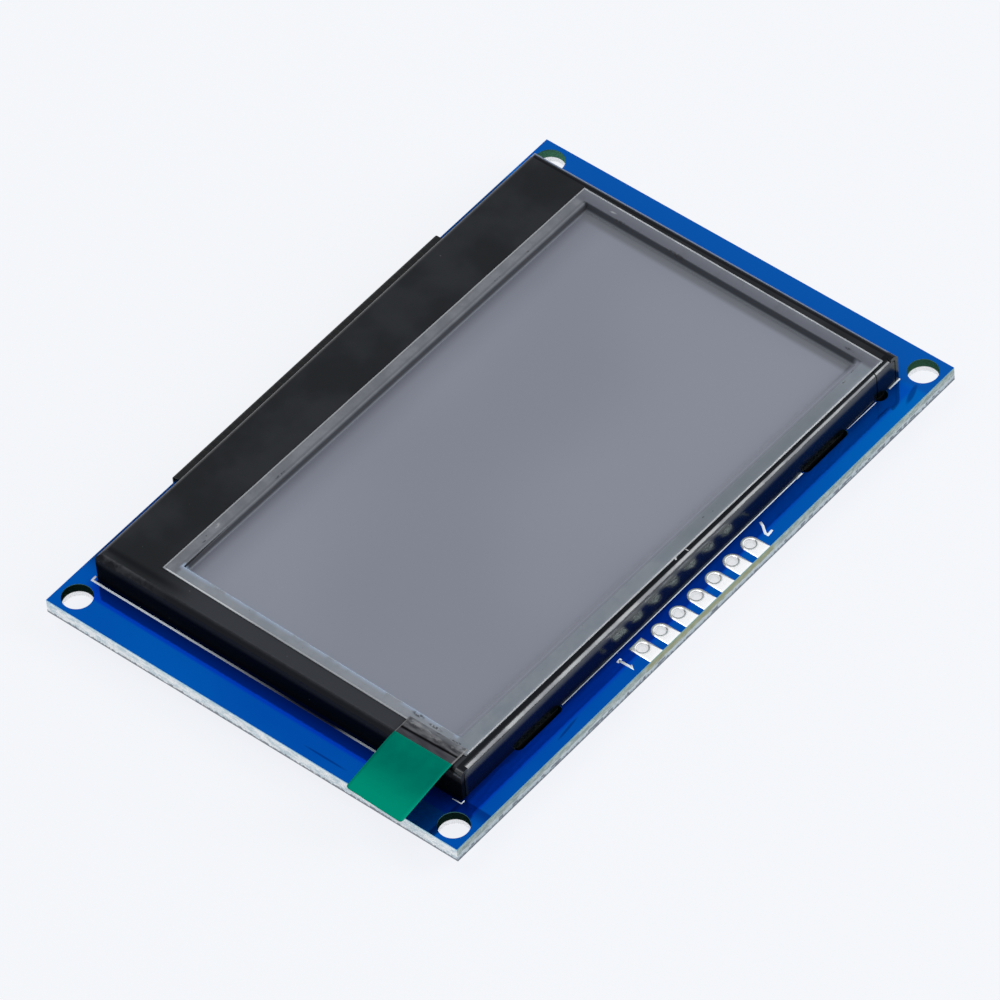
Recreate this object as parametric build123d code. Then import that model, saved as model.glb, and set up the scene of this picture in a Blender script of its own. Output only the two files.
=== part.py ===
from build123d import *
import os

# A small graphic display module: a glass display panel held on a printed circuit board by a
# folded sheet-metal frame, with a row of seven solder pads along one long edge.
# Millimetres. The origin is the centre of the board's back face, +Z points out of the screen,
# +X runs along the board and -Y points to the edge with the pad row.

# Display panel: the back glass is shorter than the front glass, which leaves a bonding ledge
panel_length = 60.5
panel_width = 37.0
ledge_width = 5.0
tape_thickness = 0.6
tape_inset = 1.5
cap_thickness = 1.1
glass_thickness = 0.7
polarizer_thickness = 0.2
polarizer_lap = 0.6
gasket_thickness = 0.6
gasket_inset = 0.6
gasket_gap = 0.3

# Driver chip on the glass ledge
chip_length = 14.0
chip_width = 1.6
chip_thickness = 0.3
chip_gap = 0.9

# Folded frame, with its window placed by the border that it leaves on each side of the panel
sheet = 0.4
bend_radius = 0.7
bend_lap = 0.3
panel_clearance = 0.25
flex_room = 4.63
window_border_left = 2.58
window_border_right = 1.52
window_border_pin_side = 1.37
window_border_flex_side = 2.43
window_corner = 0.5
corner_gap = 0.12
slit_width = 0.12

# Circuit board: the margins are what it shows on each side of the frame
board_thickness = 1.6
margin_left = 4.65
margin_right = 4.05
margin_pin_side = 3.2
margin_flex_side = 2.12
mount_hole_diameter = 3.0
mount_hole_inset = 2.0

# Pad row
pin_count = 7
pin_pitch = 2.54
pin_inset = 1.6
pin_hole_diameter = 1.1
pad_width = 1.75
pad_thickness = 0.05
barrel_wall = 0.05

# Locking tabs, the slots they pass through, and a peg
tab_width = 5.6
tab_foot = 1.7
tab_play = 0.2
slot_length = 6.3
slot_width = 1.1
pin_side_tab_inset = 14.95
flex_side_tab_inset = 10.25
peg_width = 0.9
peg_length = 1.0
peg_inset = 2.6
peg_hole_diameter = 1.6

# Flexible circuit round the board edge
flex_width = 37.0
flex_tail_width = 20.0
flex_shift = 1.0
flex_thickness = 0.12
flex_bond = 1.7
flex_gap = 0.28
flex_rise = 1.8
flex_bend = 1.0
flex_tail_bend = 0.6
flex_tail_reach = 5.8
flex_shoulder = 1.6
joint_count = 24
joint_pitch = 0.8
joint_width = 0.4
joint_length = 2.4
joint_thickness = 0.05
joint_proud = 0.7

# Protective film and its pull tab
film_lap_x = 1.0
film_lap_y = 1.15
film_thickness = 0.1
film_turn = -1.0
film_clearance = 0.5
film_slope = 0.6
pull_width = 6.5
pull_length = 9.95
pull_lap = 1.1
pull_place = 4.5
pull_drop = 1.15
pull_bend = 6.0
pull_corner = 0.6

# Packages on the back of the board
drum_diameter = 4.4
drum_flange = 0.4
drum_neck = 2.2
drum_height = 1.8
drum_edge = 0.1
coil_diameter = 3.8
coil_clearance = 0.06
package_length = 2.9
package_width = 1.6
package_height = 1.0
package_edge = 0.15
lead_span = 2.8
lead_width = 0.4
lead_pitch = 0.95
lead_thickness = 0.15
lead_standoff = 0.08
diode_length = 2.7
diode_span = 3.7
diode_lead_width = 0.9
terminal_step = 0.02

# Chip sizes: length, width, height and the length of each metal end
large_chip = (3.2, 1.6, 1.6, 0.6)
medium_chip = (2.0, 1.25, 0.85, 0.4)
small_chip = (1.6, 0.8, 0.45, 0.3)

# Distances of the groups on the back from the board's edges
supply_inset = 15.75
bulk_inset = 21.25
tail_row_inset = 11.5
pin_side_row_inset = 12.0

# Levels, counted from the back face of the board
board_top = board_thickness
tape_top = board_top + tape_thickness
cap_top = tape_top + cap_thickness
glass_top = cap_top + glass_thickness
polarizer_top = glass_top + polarizer_thickness
frame_inner_top = glass_top + gasket_thickness
frame_top = frame_inner_top + sheet
film_top = frame_top + film_thickness

# Outlines in plan, built up from the panel to the frame and the board
wall_room = panel_clearance + sheet
frame_length = panel_length + 2 * wall_room
frame_width = panel_width + 2 * wall_room - panel_clearance + flex_room
board_length = margin_left + frame_length + margin_right
board_width = margin_pin_side + frame_width + margin_flex_side
board_x = board_length / 2
board_y = board_width / 2
frame_x0 = -board_x + margin_left
frame_x1 = board_x - margin_right
frame_y0 = -board_y + margin_pin_side
frame_y1 = board_y - margin_flex_side
panel_x0 = frame_x0 + wall_room
panel_x1 = frame_x1 - wall_room
panel_y0 = frame_y0 + wall_room
panel_y1 = panel_y0 + panel_width
cap_y1 = panel_y1 - ledge_width
window_x0 = panel_x0 + window_border_left
window_x1 = panel_x1 - window_border_right
window_y0 = panel_y0 + window_border_pin_side
window_y1 = panel_y1 - window_border_flex_side
window_length = window_x1 - window_x0
window_width = window_y1 - window_y0
window_x = (window_x0 + window_x1) / 2
window_y = (window_y0 + window_y1) / 2

# Lines on the board
pin_row_y = -board_y + pin_inset
peg_x = frame_x1 - peg_inset
flex_x0 = flex_shift - flex_width / 2
flex_x1 = flex_shift + flex_width / 2
tail_x0 = flex_shift - flex_tail_width / 2
tail_x1 = flex_shift + flex_tail_width / 2
tail_y = board_y - flex_tail_reach


def block(x0, x1, y0, y1, z0, z1):
    """A box given by its limits along each axis."""
    middle = Pos((x0 + x1) / 2, (y0 + y1) / 2, (z0 + z1) / 2)
    return middle * Box(x1 - x0, y1 - y0, z1 - z0)


def drill(x, y, diameter, z0, z1):
    """A round bar or cutter that stands between two levels."""
    return Pos(x, y, (z0 + z1) / 2) * Cylinder(diameter / 2, z1 - z0)


def strip_face(points, radii, thickness, side):
    """A bent strip seen from its edge: the path, thickened to one side."""
    path = FilletPolyline(*points, radius=radii)
    return make_face(offset(path, amount=thickness, side=side))


def strip_along_x(points, radii, thickness, side, x0, x1):
    """A bent strip with its section in the YZ plane, drawn out from x0 to x1."""
    face = Plane.YZ * strip_face(points, radii, thickness, side)
    return Pos(x0, 0, 0) * extrude(face, x1 - x0)


def strip_along_y(points, radii, thickness, side, y0, y1):
    """A bent strip with its section in the XZ plane, drawn out from y0 to y1."""
    face = Plane.XZ * strip_face(points, radii, thickness, side)
    return Pos(0, y1, 0) * extrude(face, y1 - y0)


# Circuit board
def tab_places():
    """Each locking tab as x, the wall's outer face and the direction out of the frame."""
    pin_side_x = board_x - pin_side_tab_inset
    flex_side_x = board_x - flex_side_tab_inset
    pin_side = [(x, frame_y0, -1) for x in (-pin_side_x, pin_side_x)]
    flex_side = [(x, frame_y1, 1) for x in (-flex_side_x, flex_side_x)]
    return pin_side + flex_side


def tab_slot(x, wall, outward):
    """A round-ended slot: its inner edge clears the bent tab, the rest shows outside the wall."""
    y = wall - outward * (sheet + tab_play - slot_width / 2)
    return Pos(x, y, 0) * extrude(SlotOverall(slot_length, slot_width), board_thickness)


def pin_xs():
    """Pad places along the row, pad one first."""
    return [(i - (pin_count - 1) / 2) * pin_pitch for i in range(pin_count)]


def circuit_board():
    board = block(-board_x, board_x, -board_y, board_y, 0, board_top)
    hole_x = board_x - mount_hole_inset
    hole_y = board_y - mount_hole_inset
    for x in (-hole_x, hole_x):
        for y in (-hole_y, hole_y):
            board -= drill(x, y, mount_hole_diameter, 0, board_top)
    for x, wall, outward in tab_places():
        board -= tab_slot(x, wall, outward)
    board -= drill(peg_x, frame_y0 + sheet / 2, peg_hole_diameter, 0, board_top)
    for x in pin_xs():
        board -= drill(x, pin_row_y, pin_hole_diameter + 2 * barrel_wall, 0, board_top)
    return board


def pad_outline(square_end):
    """A pad in plan: a strip to the board edge with a round or square inner end."""
    strip = Pos(0, -pin_inset / 2) * Rectangle(pad_width, pin_inset)
    end = Rectangle(pad_width, pad_width) if square_end else Circle(pad_width / 2)
    return strip + end


def header_pad(x, square_end):
    """A plated hole: a pad on each face of the board, joined by the barrel through it."""
    foil = extrude(pad_outline(square_end), pad_thickness)
    pad = Pos(x, pin_row_y, board_top) * foil + Pos(x, pin_row_y, -pad_thickness) * foil
    pad += drill(x, pin_row_y, pin_hole_diameter + 2 * barrel_wall, 0, board_top)
    return pad - drill(x, pin_row_y, pin_hole_diameter, -pad_thickness, board_top + pad_thickness)


# Folded frame
def frame_front():
    """The flat front with its window, up to where the bends begin."""
    front = block(frame_x0 + bend_radius, frame_x1 - bend_radius,
                  frame_y0 + bend_radius, frame_y1 - bend_radius, frame_inner_top, frame_top)
    opening = RectangleRounded(window_length, window_width, window_corner)
    return front - Pos(window_x, window_y, frame_inner_top) * extrude(opening, sheet)


def wall_path(wall, outward):
    """A wall's outer face from the front, round the bend and down to the board."""
    inside = wall - outward * (bend_radius + bend_lap)
    return [(inside, frame_top), (wall, frame_top), (wall, board_top)]


def end_wall(wall, outward):
    """A short wall over the frame's full width, its top corner rounded on the flex side."""
    side = Side.RIGHT if outward > 0 else Side.LEFT
    strip = strip_along_y(wall_path(wall, outward), [bend_radius], sheet, side, frame_y0, frame_y1)
    room = block(frame_x0, frame_x1, frame_y0, frame_y1, board_top, frame_top)
    top_edges = room.edges().filter_by(Axis.X).group_by(Axis.Z)[-1]
    return strip & fillet(top_edges.sort_by(Axis.Y)[-1], bend_radius)


def side_wall(wall, outward):
    """A long wall: it stands between the short walls, with a fine gap at each corner."""
    side = Side.RIGHT if outward > 0 else Side.LEFT
    full = strip_along_x(wall_path(wall, outward), [bend_radius], sheet, side, frame_x0, frame_x1)
    return full & side_wall_room()


def side_wall_room():
    """The space left between the short walls: under their bends, and between them above."""
    gap = sheet + corner_gap
    low = block(frame_x0 + gap, frame_x1 - gap, frame_y0, frame_y1, board_top, frame_top - gap)
    top_edges = low.edges().filter_by(Axis.Y).group_by(Axis.Z)[-1]
    low = fillet(top_edges, bend_radius - gap)
    reach = bend_radius + corner_gap
    high = block(frame_x0 + reach, frame_x1 - reach, frame_y0, frame_y1, board_top, frame_top)
    return low + high


def locking_tab(x, wall, outward):
    """A tab that drops through its slot and is folded flat against the board's back."""
    foot = wall - outward * (sheet + tab_play + tab_foot)
    points = [(wall, board_top + sheet), (wall, -sheet), (foot, -sheet)]
    side = Side.RIGHT if outward > 0 else Side.LEFT
    fold = tab_play + sheet
    return strip_along_x(points, [fold], sheet, side, x - tab_width / 2, x + tab_width / 2)


def frame_cuts():
    """The opening that lets the flexible circuit out, and the slit beside the peg."""
    opening = block(flex_x0 - panel_clearance, flex_x1 + panel_clearance,
                    frame_y1 - bend_radius, frame_y1, board_top, frame_top - bend_radius)
    slit_x = peg_x - peg_width / 2
    slit = block(slit_x - slit_width, slit_x, frame_y0, frame_y0 + bend_radius,
                 board_top, frame_top)
    return opening + slit


def front_frame():
    frame = frame_front()
    frame += end_wall(frame_x0, -1)
    frame += end_wall(frame_x1, 1)
    frame += side_wall(frame_y0, -1)
    frame += side_wall(frame_y1, 1)
    frame -= frame_cuts()
    for x, wall, outward in tab_places():
        frame += locking_tab(x, wall, outward)
    peg_x0, peg_x1 = peg_x - peg_width / 2, peg_x + peg_width / 2
    frame += block(peg_x0, peg_x1, frame_y0, frame_y0 + sheet, board_top - peg_length, board_top)
    return frame


# Display panel
def panel_tape():
    """Foam tape that carries the panel on the board."""
    return block(panel_x0 + tape_inset, panel_x1 - tape_inset,
                 panel_y0 + tape_inset, cap_y1 - tape_inset, board_top, tape_top)


def panel_cap():
    """Back glass, up to the bonding ledge."""
    return block(panel_x0, panel_x1, panel_y0, cap_y1, tape_top, cap_top)


def panel_glass():
    """Front glass, with the ledge along the side of the flexible circuit."""
    return block(panel_x0, panel_x1, panel_y0, panel_y1, cap_top, glass_top)


def polarizer():
    return block(window_x0 - polarizer_lap, window_x1 + polarizer_lap,
                 window_y0 - polarizer_lap, window_y1 + polarizer_lap, glass_top, polarizer_top)


def frame_gasket():
    """A ring of foam between the glass and the frame, round the polarizer."""
    lap = polarizer_lap + gasket_gap
    ring = block(panel_x0 + gasket_inset, panel_x1 - gasket_inset,
                 panel_y0 + gasket_inset, panel_y1 - gasket_inset, glass_top, frame_inner_top)
    return ring - block(window_x0 - lap, window_x1 + lap, window_y0 - lap, window_y1 + lap,
                        glass_top, frame_inner_top)


def driver_chip():
    """The bare chip bonded to the underside of the ledge."""
    y0 = cap_y1 + chip_gap
    return block(flex_shift - chip_length / 2, flex_shift + chip_length / 2, y0, y0 + chip_width,
                 cap_top - chip_thickness, cap_top)


# Flexible circuit
def flex_path():
    """The outer face of the flexible circuit, from the ledge round the board edge to its end."""
    fall_y = panel_y1 + flex_rise
    land_y = fall_y + flex_rise + flex_bend
    over = board_top + flex_gap + flex_thickness
    under = -flex_gap - flex_thickness
    outer = board_y + flex_gap + flex_thickness
    flat = -joint_thickness - flex_thickness
    return [(panel_y1 - flex_bond, cap_top), (fall_y, cap_top), (land_y, over), (outer, over),
            (outer, under), (board_y - flex_bend, under), (board_y - 2 * flex_shoulder, flat),
            (tail_y, flat)]


def display_flex():
    """One strip at full width round the edge, narrowed to the tail on the back."""
    wrap = flex_gap + flex_thickness
    radii = [flex_bend, flex_bend, wrap, wrap, flex_tail_bend, flex_tail_bend]
    flex = strip_along_x(flex_path(), radii, flex_thickness, Side.RIGHT, flex_x0, flex_x1)
    shoulder_y = board_y - flex_shoulder
    for x0, x1 in ((flex_x0, tail_x0), (tail_x1, flex_x1)):
        flex -= block(x0, x1, tail_y, shoulder_y, -flex_gap - 2 * flex_thickness, 0)
    return flex


def flex_joints():
    """The row of solder joints that holds the tail on the board."""
    y0 = tail_y - joint_proud
    first = flex_shift - (joint_count - 1) * joint_pitch / 2
    centres = [first + i * joint_pitch for i in range(joint_count)]
    bars = [block(x - joint_width / 2, x + joint_width / 2, y0, y0 + joint_length,
                  -joint_thickness, 0) for x in centres]
    return Compound(children=bars)


# Protective film
def film_pocket(wall, z_top, z_bottom):
    """The pressed-in middle of the film as a solid with sloping sides, less a wall."""
    length = window_length - 2 * film_clearance - 2 * wall
    width = window_width - 2 * film_clearance - 2 * wall
    top = Pos(0, 0, z_top) * Rectangle(length, width)
    bottom = Pos(0, 0, z_bottom) * Rectangle(length - 2 * film_slope, width - 2 * film_slope)
    return loft([bottom, top])


def protective_film():
    """A clear film laid over the frame and pressed down on the screen inside the window."""
    reach_x = window_length / 2 + film_lap_x
    reach_y = window_width / 2 + film_lap_y
    film = block(-reach_x, reach_x, -reach_y, reach_y, frame_top, film_top)
    film += film_pocket(0, frame_top, polarizer_top)
    film -= film_pocket(film_thickness, film_top, polarizer_top + film_thickness)
    return Pos(window_x, window_y, 0) * Rot(0, 0, film_turn) * film


def pull_tab():
    """A strip stuck to the film's edge, drooping past the frame over the board."""
    x0 = window_x0 - film_lap_x + pull_lap
    x2 = x0 - pull_length
    points = [(x0, film_top), (frame_x0, film_top), (x2, film_top - pull_drop)]
    middle = frame_y0 + pull_place
    strip = strip_along_y(points, [pull_bend], film_thickness, Side.RIGHT,
                          middle - pull_width / 2, middle + pull_width / 2)
    short_edges = strip.edges().filter_by(lambda edge: edge.length < 1.5 * film_thickness)
    return fillet(short_edges.sort_by(Axis.X)[0:2], pull_corner)


# Packages on the back of the board, modelled face up and then turned over
def on_back(part, x, y, turn=0):
    return Pos(x, y, 0) * Rot(180, 0, 0) * Rot(0, 0, turn) * part


def bent_lead(reach, body_side, height, width, y):
    """A gull-wing lead from the side of a package down to its flat foot."""
    foot = (reach - body_side) / 2
    points = [(reach, 0), (reach - foot, 0), (reach - foot, height), (body_side, height)]
    radii = [1.4 * lead_thickness, 0.4 * lead_thickness]
    return strip_along_y(points, radii, lead_thickness, Side.RIGHT, y - width / 2, y + width / 2)


def leaded_package(length, span, width, left_leads, right_leads):
    """A moulded body with a raised underside, its top edges eased, and leads on two sides."""
    side = package_width / 2
    body = block(-side, side, -length / 2, length / 2, lead_standoff,
                 lead_standoff + package_height)
    body = chamfer(body.edges().group_by(Axis.Z)[-1], package_edge)
    height = lead_standoff + package_height / 2
    for y in right_leads:
        body += bent_lead(span / 2, side, height, width, y)
    for y in left_leads:
        body += Rot(0, 0, 180) * bent_lead(span / 2, side, height, width, -y)
    return body


def boost_converter():
    row = [-lead_pitch, 0, lead_pitch]
    return leaded_package(package_length, lead_span, lead_width, row, row)


def voltage_regulator():
    return leaded_package(package_length, lead_span, lead_width, [-lead_pitch, lead_pitch], [0])


def rectifier_diode():
    length = package_width
    body_side = diode_length / 2
    body = block(-body_side, body_side, -length / 2, length / 2, lead_standoff,
                 lead_standoff + package_height)
    body = chamfer(body.edges().group_by(Axis.Z)[-1], package_edge)
    lead = bent_lead(diode_span / 2, body_side, lead_standoff + package_height / 2,
                     diode_lead_width, 0)
    return body + lead + Rot(0, 0, 180) * lead


def inductor_core():
    """A ferrite drum: two round flanges on a thin neck, turned about its axis."""
    lower, upper = drum_flange, drum_height - drum_flange
    rim, neck = drum_diameter / 2, drum_neck / 2
    outline = Polyline((0, 0), (rim, 0), (rim, lower), (neck, lower), (neck, upper), (rim, upper),
                       (rim, drum_height), (0, drum_height), close=True)
    drum = revolve(Plane.XZ * make_face(outline), Axis.Z)
    return chamfer(drum.edges().filter_by(GeomType.CIRCLE).group_by(Axis.Z)[-1], drum_edge)


def inductor_coil():
    """The winding between the flanges, as one ring."""
    lower = drum_flange + coil_clearance
    upper = drum_height - drum_flange - coil_clearance
    return drill(0, 0, coil_diameter, lower, upper) - drill(0, 0, drum_neck, lower, upper)


def chip_part(size):
    """A ceramic block with a metal cap at each end that stands slightly proud of it."""
    length, width, height, terminal = size
    step = terminal_step
    body = block(terminal - length / 2, length / 2 - terminal, step - width / 2,
                 width / 2 - step, step, height - step)
    body += block(-length / 2, terminal - length / 2, -width / 2, width / 2, 0, height)
    body += block(length / 2 - terminal, length / 2, -width / 2, width / 2, 0, height)
    return body


def chip_places():
    """For each kind of chip its size and its places on the back: x, y and turn."""
    supply_x = supply_inset - board_x
    bulk_x = board_x - bulk_inset
    tail_row = board_y - tail_row_inset
    pin_row = pin_side_row_inset - board_y
    setting_xs = [-12.0, -9.5, -7.0, -4.5]
    return {
        "bulk_capacitor": (large_chip, [(bulk_x, 8.0, 90), (5.0, pin_row, 0)]),
        "ceramic_capacitor": (medium_chip, [
            (supply_x, 10.0, 0), (supply_x + 6.0, 1.6, 0),
            (bulk_x + 3.5, pin_row, 90), (bulk_x + 4.0, 8.0, 90)]),
        "small_capacitor": (small_chip, [
            (supply_x + 12.0, 4.0, 90), (0.0, tail_row, 0), (4.0, tail_row, 0),
            (8.0, tail_row, 0)]),
        "resistor": (small_chip, [
            (supply_x + 10.0, 8.0, 90), (supply_x + 12.0, 8.0, 90), (-4.0, tail_row, 0),
            (bulk_x - 4.5, 4.0, 90)] + [(x, pin_row, 90) for x in setting_xs]),
    }


def back_parts():
    supply_x = supply_inset - board_x
    regulator_x = board_x - bulk_inset - 2.0
    parts = {
        "inductor_core": on_back(inductor_core(), supply_x, 5.0),
        "inductor_coil": on_back(inductor_coil(), supply_x, 5.0),
        "boost_converter": on_back(boost_converter(), supply_x + 6.0, 6.0),
        "rectifier_diode": on_back(rectifier_diode(), supply_x + 5.5, 10.5),
        "voltage_regulator": on_back(voltage_regulator(), regulator_x,
                                     pin_side_row_inset - board_y, 90),
    }
    for name, (size, places) in chip_places().items():
        for i, (x, y, turn) in enumerate(places, start=1):
            parts[f"{name}_{i}"] = on_back(chip_part(size), x, y, turn)
    return parts


def all_parts():
    parts = {
        "circuit_board": circuit_board(),
        "front_frame": front_frame(),
        "panel_tape": panel_tape(),
        "panel_cap": panel_cap(),
        "panel_glass": panel_glass(),
        "polarizer": polarizer(),
        "frame_gasket": frame_gasket(),
        "driver_chip": driver_chip(),
        "display_flex": display_flex(),
        "flex_joints": flex_joints(),
        "protective_film": protective_film(),
        "pull_tab": pull_tab(),
    }
    for i, x in enumerate(pin_xs(), start=1):
        parts[f"header_pad_{i}"] = header_pad(x, square_end=(i == 1))
    return parts | back_parts()


os.makedirs("parts", exist_ok=True)
for node, shape in all_parts().items():
    export_step(shape, f"parts/{node}.step")
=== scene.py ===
# %% [markdown]
# This lesson dresses a small display module: a glass panel that a folded black metal frame holds
# on a blue circuit board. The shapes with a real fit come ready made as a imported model, in metres,
# with the origin at the middle of the board's back face and +Z out of the screen. What follows
# gives each of them its finish and adds what is too thin to be a solid of its own: the printed
# lines, the domed solder, the pressed film, and the tracks and solder on the back.

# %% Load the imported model
import bmesh
import bpy
import numpy as np
from mathutils import Matrix, Vector


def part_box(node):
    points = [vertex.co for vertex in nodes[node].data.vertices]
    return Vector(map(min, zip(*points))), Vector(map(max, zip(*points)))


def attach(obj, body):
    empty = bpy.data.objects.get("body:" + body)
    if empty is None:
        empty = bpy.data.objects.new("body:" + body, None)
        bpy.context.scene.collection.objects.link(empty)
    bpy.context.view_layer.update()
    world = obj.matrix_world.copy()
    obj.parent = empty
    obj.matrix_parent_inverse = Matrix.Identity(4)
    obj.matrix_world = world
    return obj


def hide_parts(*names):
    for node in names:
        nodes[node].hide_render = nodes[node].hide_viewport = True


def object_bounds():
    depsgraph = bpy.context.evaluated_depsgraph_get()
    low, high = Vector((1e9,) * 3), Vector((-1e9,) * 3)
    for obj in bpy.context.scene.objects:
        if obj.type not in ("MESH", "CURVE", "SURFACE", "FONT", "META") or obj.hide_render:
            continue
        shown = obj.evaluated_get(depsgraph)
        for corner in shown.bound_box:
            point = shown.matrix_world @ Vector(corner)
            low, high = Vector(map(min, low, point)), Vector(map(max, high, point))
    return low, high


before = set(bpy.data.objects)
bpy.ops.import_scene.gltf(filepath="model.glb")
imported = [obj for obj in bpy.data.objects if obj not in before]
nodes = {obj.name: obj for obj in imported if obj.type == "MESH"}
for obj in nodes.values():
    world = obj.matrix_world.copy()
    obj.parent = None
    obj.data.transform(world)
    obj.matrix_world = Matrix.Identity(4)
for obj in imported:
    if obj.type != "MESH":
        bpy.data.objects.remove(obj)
cad_box = [list(corner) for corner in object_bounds()]
MM = 0.001
print("nodes:", len(nodes), "box in mm:", [[round(c / MM, 2) for c in corner] for corner in cad_box])

# %% [markdown]
# Every place is read from the solids, so that a change of size there moves what is added here.
# The board and the frame give the levels, and the pads and the frame's walls give the lines that
# the printing and the tracks keep to.

# %% Places in millimetres
def box_mm(node):
    """Lowest and highest corner of a solid, in millimetres."""
    low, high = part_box(node)
    return np.array(low) / MM, np.array(high) / MM


board_low, board_high = box_mm("circuit_board")
frame_low, frame_high = box_mm("front_frame")
board_top = board_high[2]
frame_top = frame_high[2]
pad_boxes = [box_mm(f"header_pad_{i + 1}") for i in range(7)]
pad_xs = np.array([(low[0] + high[0]) / 2 for low, high in pad_boxes])
pad_inset = 1.6
pad_y = board_low[1] + pad_inset
print("board top", board_top, "frame top", frame_top, "pads at", pad_xs.round(2))

# %% [markdown]
# The camera stands where the photographer stood: in front of the corner between the pad row and
# the short end with the pull tab, well above the board and far away, with a long lens. A camera
# that far away keeps parallel edges nearly parallel. It could be placed by an empty and a
# constraint, but three plain angles are easier to read: how far round, how far up, and the tilt.

# %% Camera
aim = Vector((-1.746, -1.073, 1.6)) * MM
distance = 850.75 * MM
azimuth, elevation, roll = np.radians([-46.367, 48.532, -5.219])
sensor_width, lens = 36.0, 340.52

towards = Vector((np.sin(azimuth) * np.cos(elevation), -np.cos(azimuth) * np.cos(elevation),
                  np.sin(elevation)))
level_right = Vector((np.cos(azimuth), np.sin(azimuth), 0))
level_up = towards.cross(level_right)
right = level_right * np.cos(roll) + level_up * np.sin(roll)
up = towards.cross(right)

camera_data = bpy.data.cameras.new("camera")
camera_data.sensor_width = sensor_width
camera_data.lens = lens
camera_data.clip_start, camera_data.clip_end = 0.05, 20.0
camera = bpy.data.objects.new("camera", camera_data)
camera.matrix_world = Matrix((
    (right.x, up.x, towards.x, aim.x + towards.x * distance),
    (right.y, up.y, towards.y, aim.y + towards.y * distance),
    (right.z, up.z, towards.z, aim.z + towards.z * distance),
    (0, 0, 0, 1)))
bpy.context.scene.collection.objects.link(camera)
bpy.context.scene.camera = camera
bpy.context.scene.view_settings.view_transform = "Standard"
print("camera at", [round(c, 3) for c in camera.location])

# %% [markdown]
# A material here is a short list of nodes. Wiring nodes by hand is wordy, so two small classes do
# it. The first is a Value, a number that differs from point to point: arithmetic on it adds Math
# nodes, | is the larger of two and & the smaller, and step is a smooth step between two limits.
# Two tones are mixed by such a number. Tones are written as 0 to 255.

# %% Values and tones
def colour(red, green, blue):
    """A colour given as 0 to 255 in the display's curve, turned to linear light."""
    part = np.array([red, green, blue]) / 255
    linear = np.where(part <= 0.04045, part / 12.92, ((part + 0.055) / 1.055) ** 2.4)
    return (*linear.tolist(), 1.0)


def feed(socket, value):
    """Wires a value into a socket, or writes a number, a vector or a tone of 0 to 255 there."""
    value = getattr(value, "socket", value)
    if isinstance(value, bpy.types.NodeSocket):
        socket.id_data.links.new(value, socket)
    elif value is not None:
        is_tone = socket.type == "RGBA" and len(value) == 3
        socket.default_value = colour(*value) if is_tone else value


def add_node(tree, kind, *inputs, **settings):
    """A node with its settings, and its inputs fed in order. None leaves an input as it is."""
    made = tree.nodes.new(kind)
    for key, value in settings.items():
        setattr(made, key, value)
    for socket, value in zip(made.inputs, inputs):
        feed(socket, value)
    return made


class Value:
    """A number that differs from point to point over a surface."""

    # A numpy number on the left of + or - leaves the work to this class.
    __array_ufunc__ = None

    def __init__(self, socket):
        self.socket = socket
        self.tree = socket.id_data

    def math(self, operation, *inputs):
        made = add_node(self.tree, "ShaderNodeMath", *inputs, operation=operation)
        return Value(made.outputs[0])

    def __add__(self, other):
        return self.math("ADD", self, other)

    def __radd__(self, other):
        return self.math("ADD", other, self)

    def __sub__(self, other):
        return self.math("SUBTRACT", self, other)

    def __rsub__(self, other):
        return self.math("SUBTRACT", other, self)

    def __mul__(self, other):
        return self.math("MULTIPLY", self, other)

    def __or__(self, other):
        return self.math("MAXIMUM", self, other)

    def __and__(self, other):
        return self.math("MINIMUM", self, other)

    def __abs__(self):
        return self.math("ABSOLUTE", self)

    def step(self, start, end, low=0.0, high=1.0):
        """A smooth step: low before start, high after end. Start may lie above end."""
        made = add_node(self.tree, "ShaderNodeMapRange", self, start, end, low, high,
                        interpolation_type="SMOOTHSTEP")
        return Value(made.outputs[0])

    def band(self, start, end, soft=0.05):
        """1 between two values, fading over a soft width at each side."""
        return self.step(start - soft, start + soft) * self.step(end + soft, end - soft)

    def tones(self, first, second, start=0.35, end=0.65):
        """Two tones that change over where the value goes from start to end."""
        return mix(self.step(start, end), first, second)


def mix(factor, first, second):
    """From the first tone to the second as a value goes from 0 to 1."""
    return add_node(factor.tree, "ShaderNodeMix", factor, *[None] * 5, first, second,
                    data_type="RGBA").outputs[2]


def blend(factor, first, second):
    """The same as mix, for plain numbers such as roughness."""
    return Value(add_node(factor.tree, "ShaderNodeMix", factor, None, first, second,
                          data_type="FLOAT").outputs[0])


# %% [markdown]
# The second class is the material itself. It offers the place on the piece, taken from Object
# coordinates and turned to millimetres, so that one unit of a pattern is one millimetre on the
# real thing. From the place come its noise and its spots, and at the end it takes the tone, the
# roughness, the metallic share and the relief.

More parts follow.
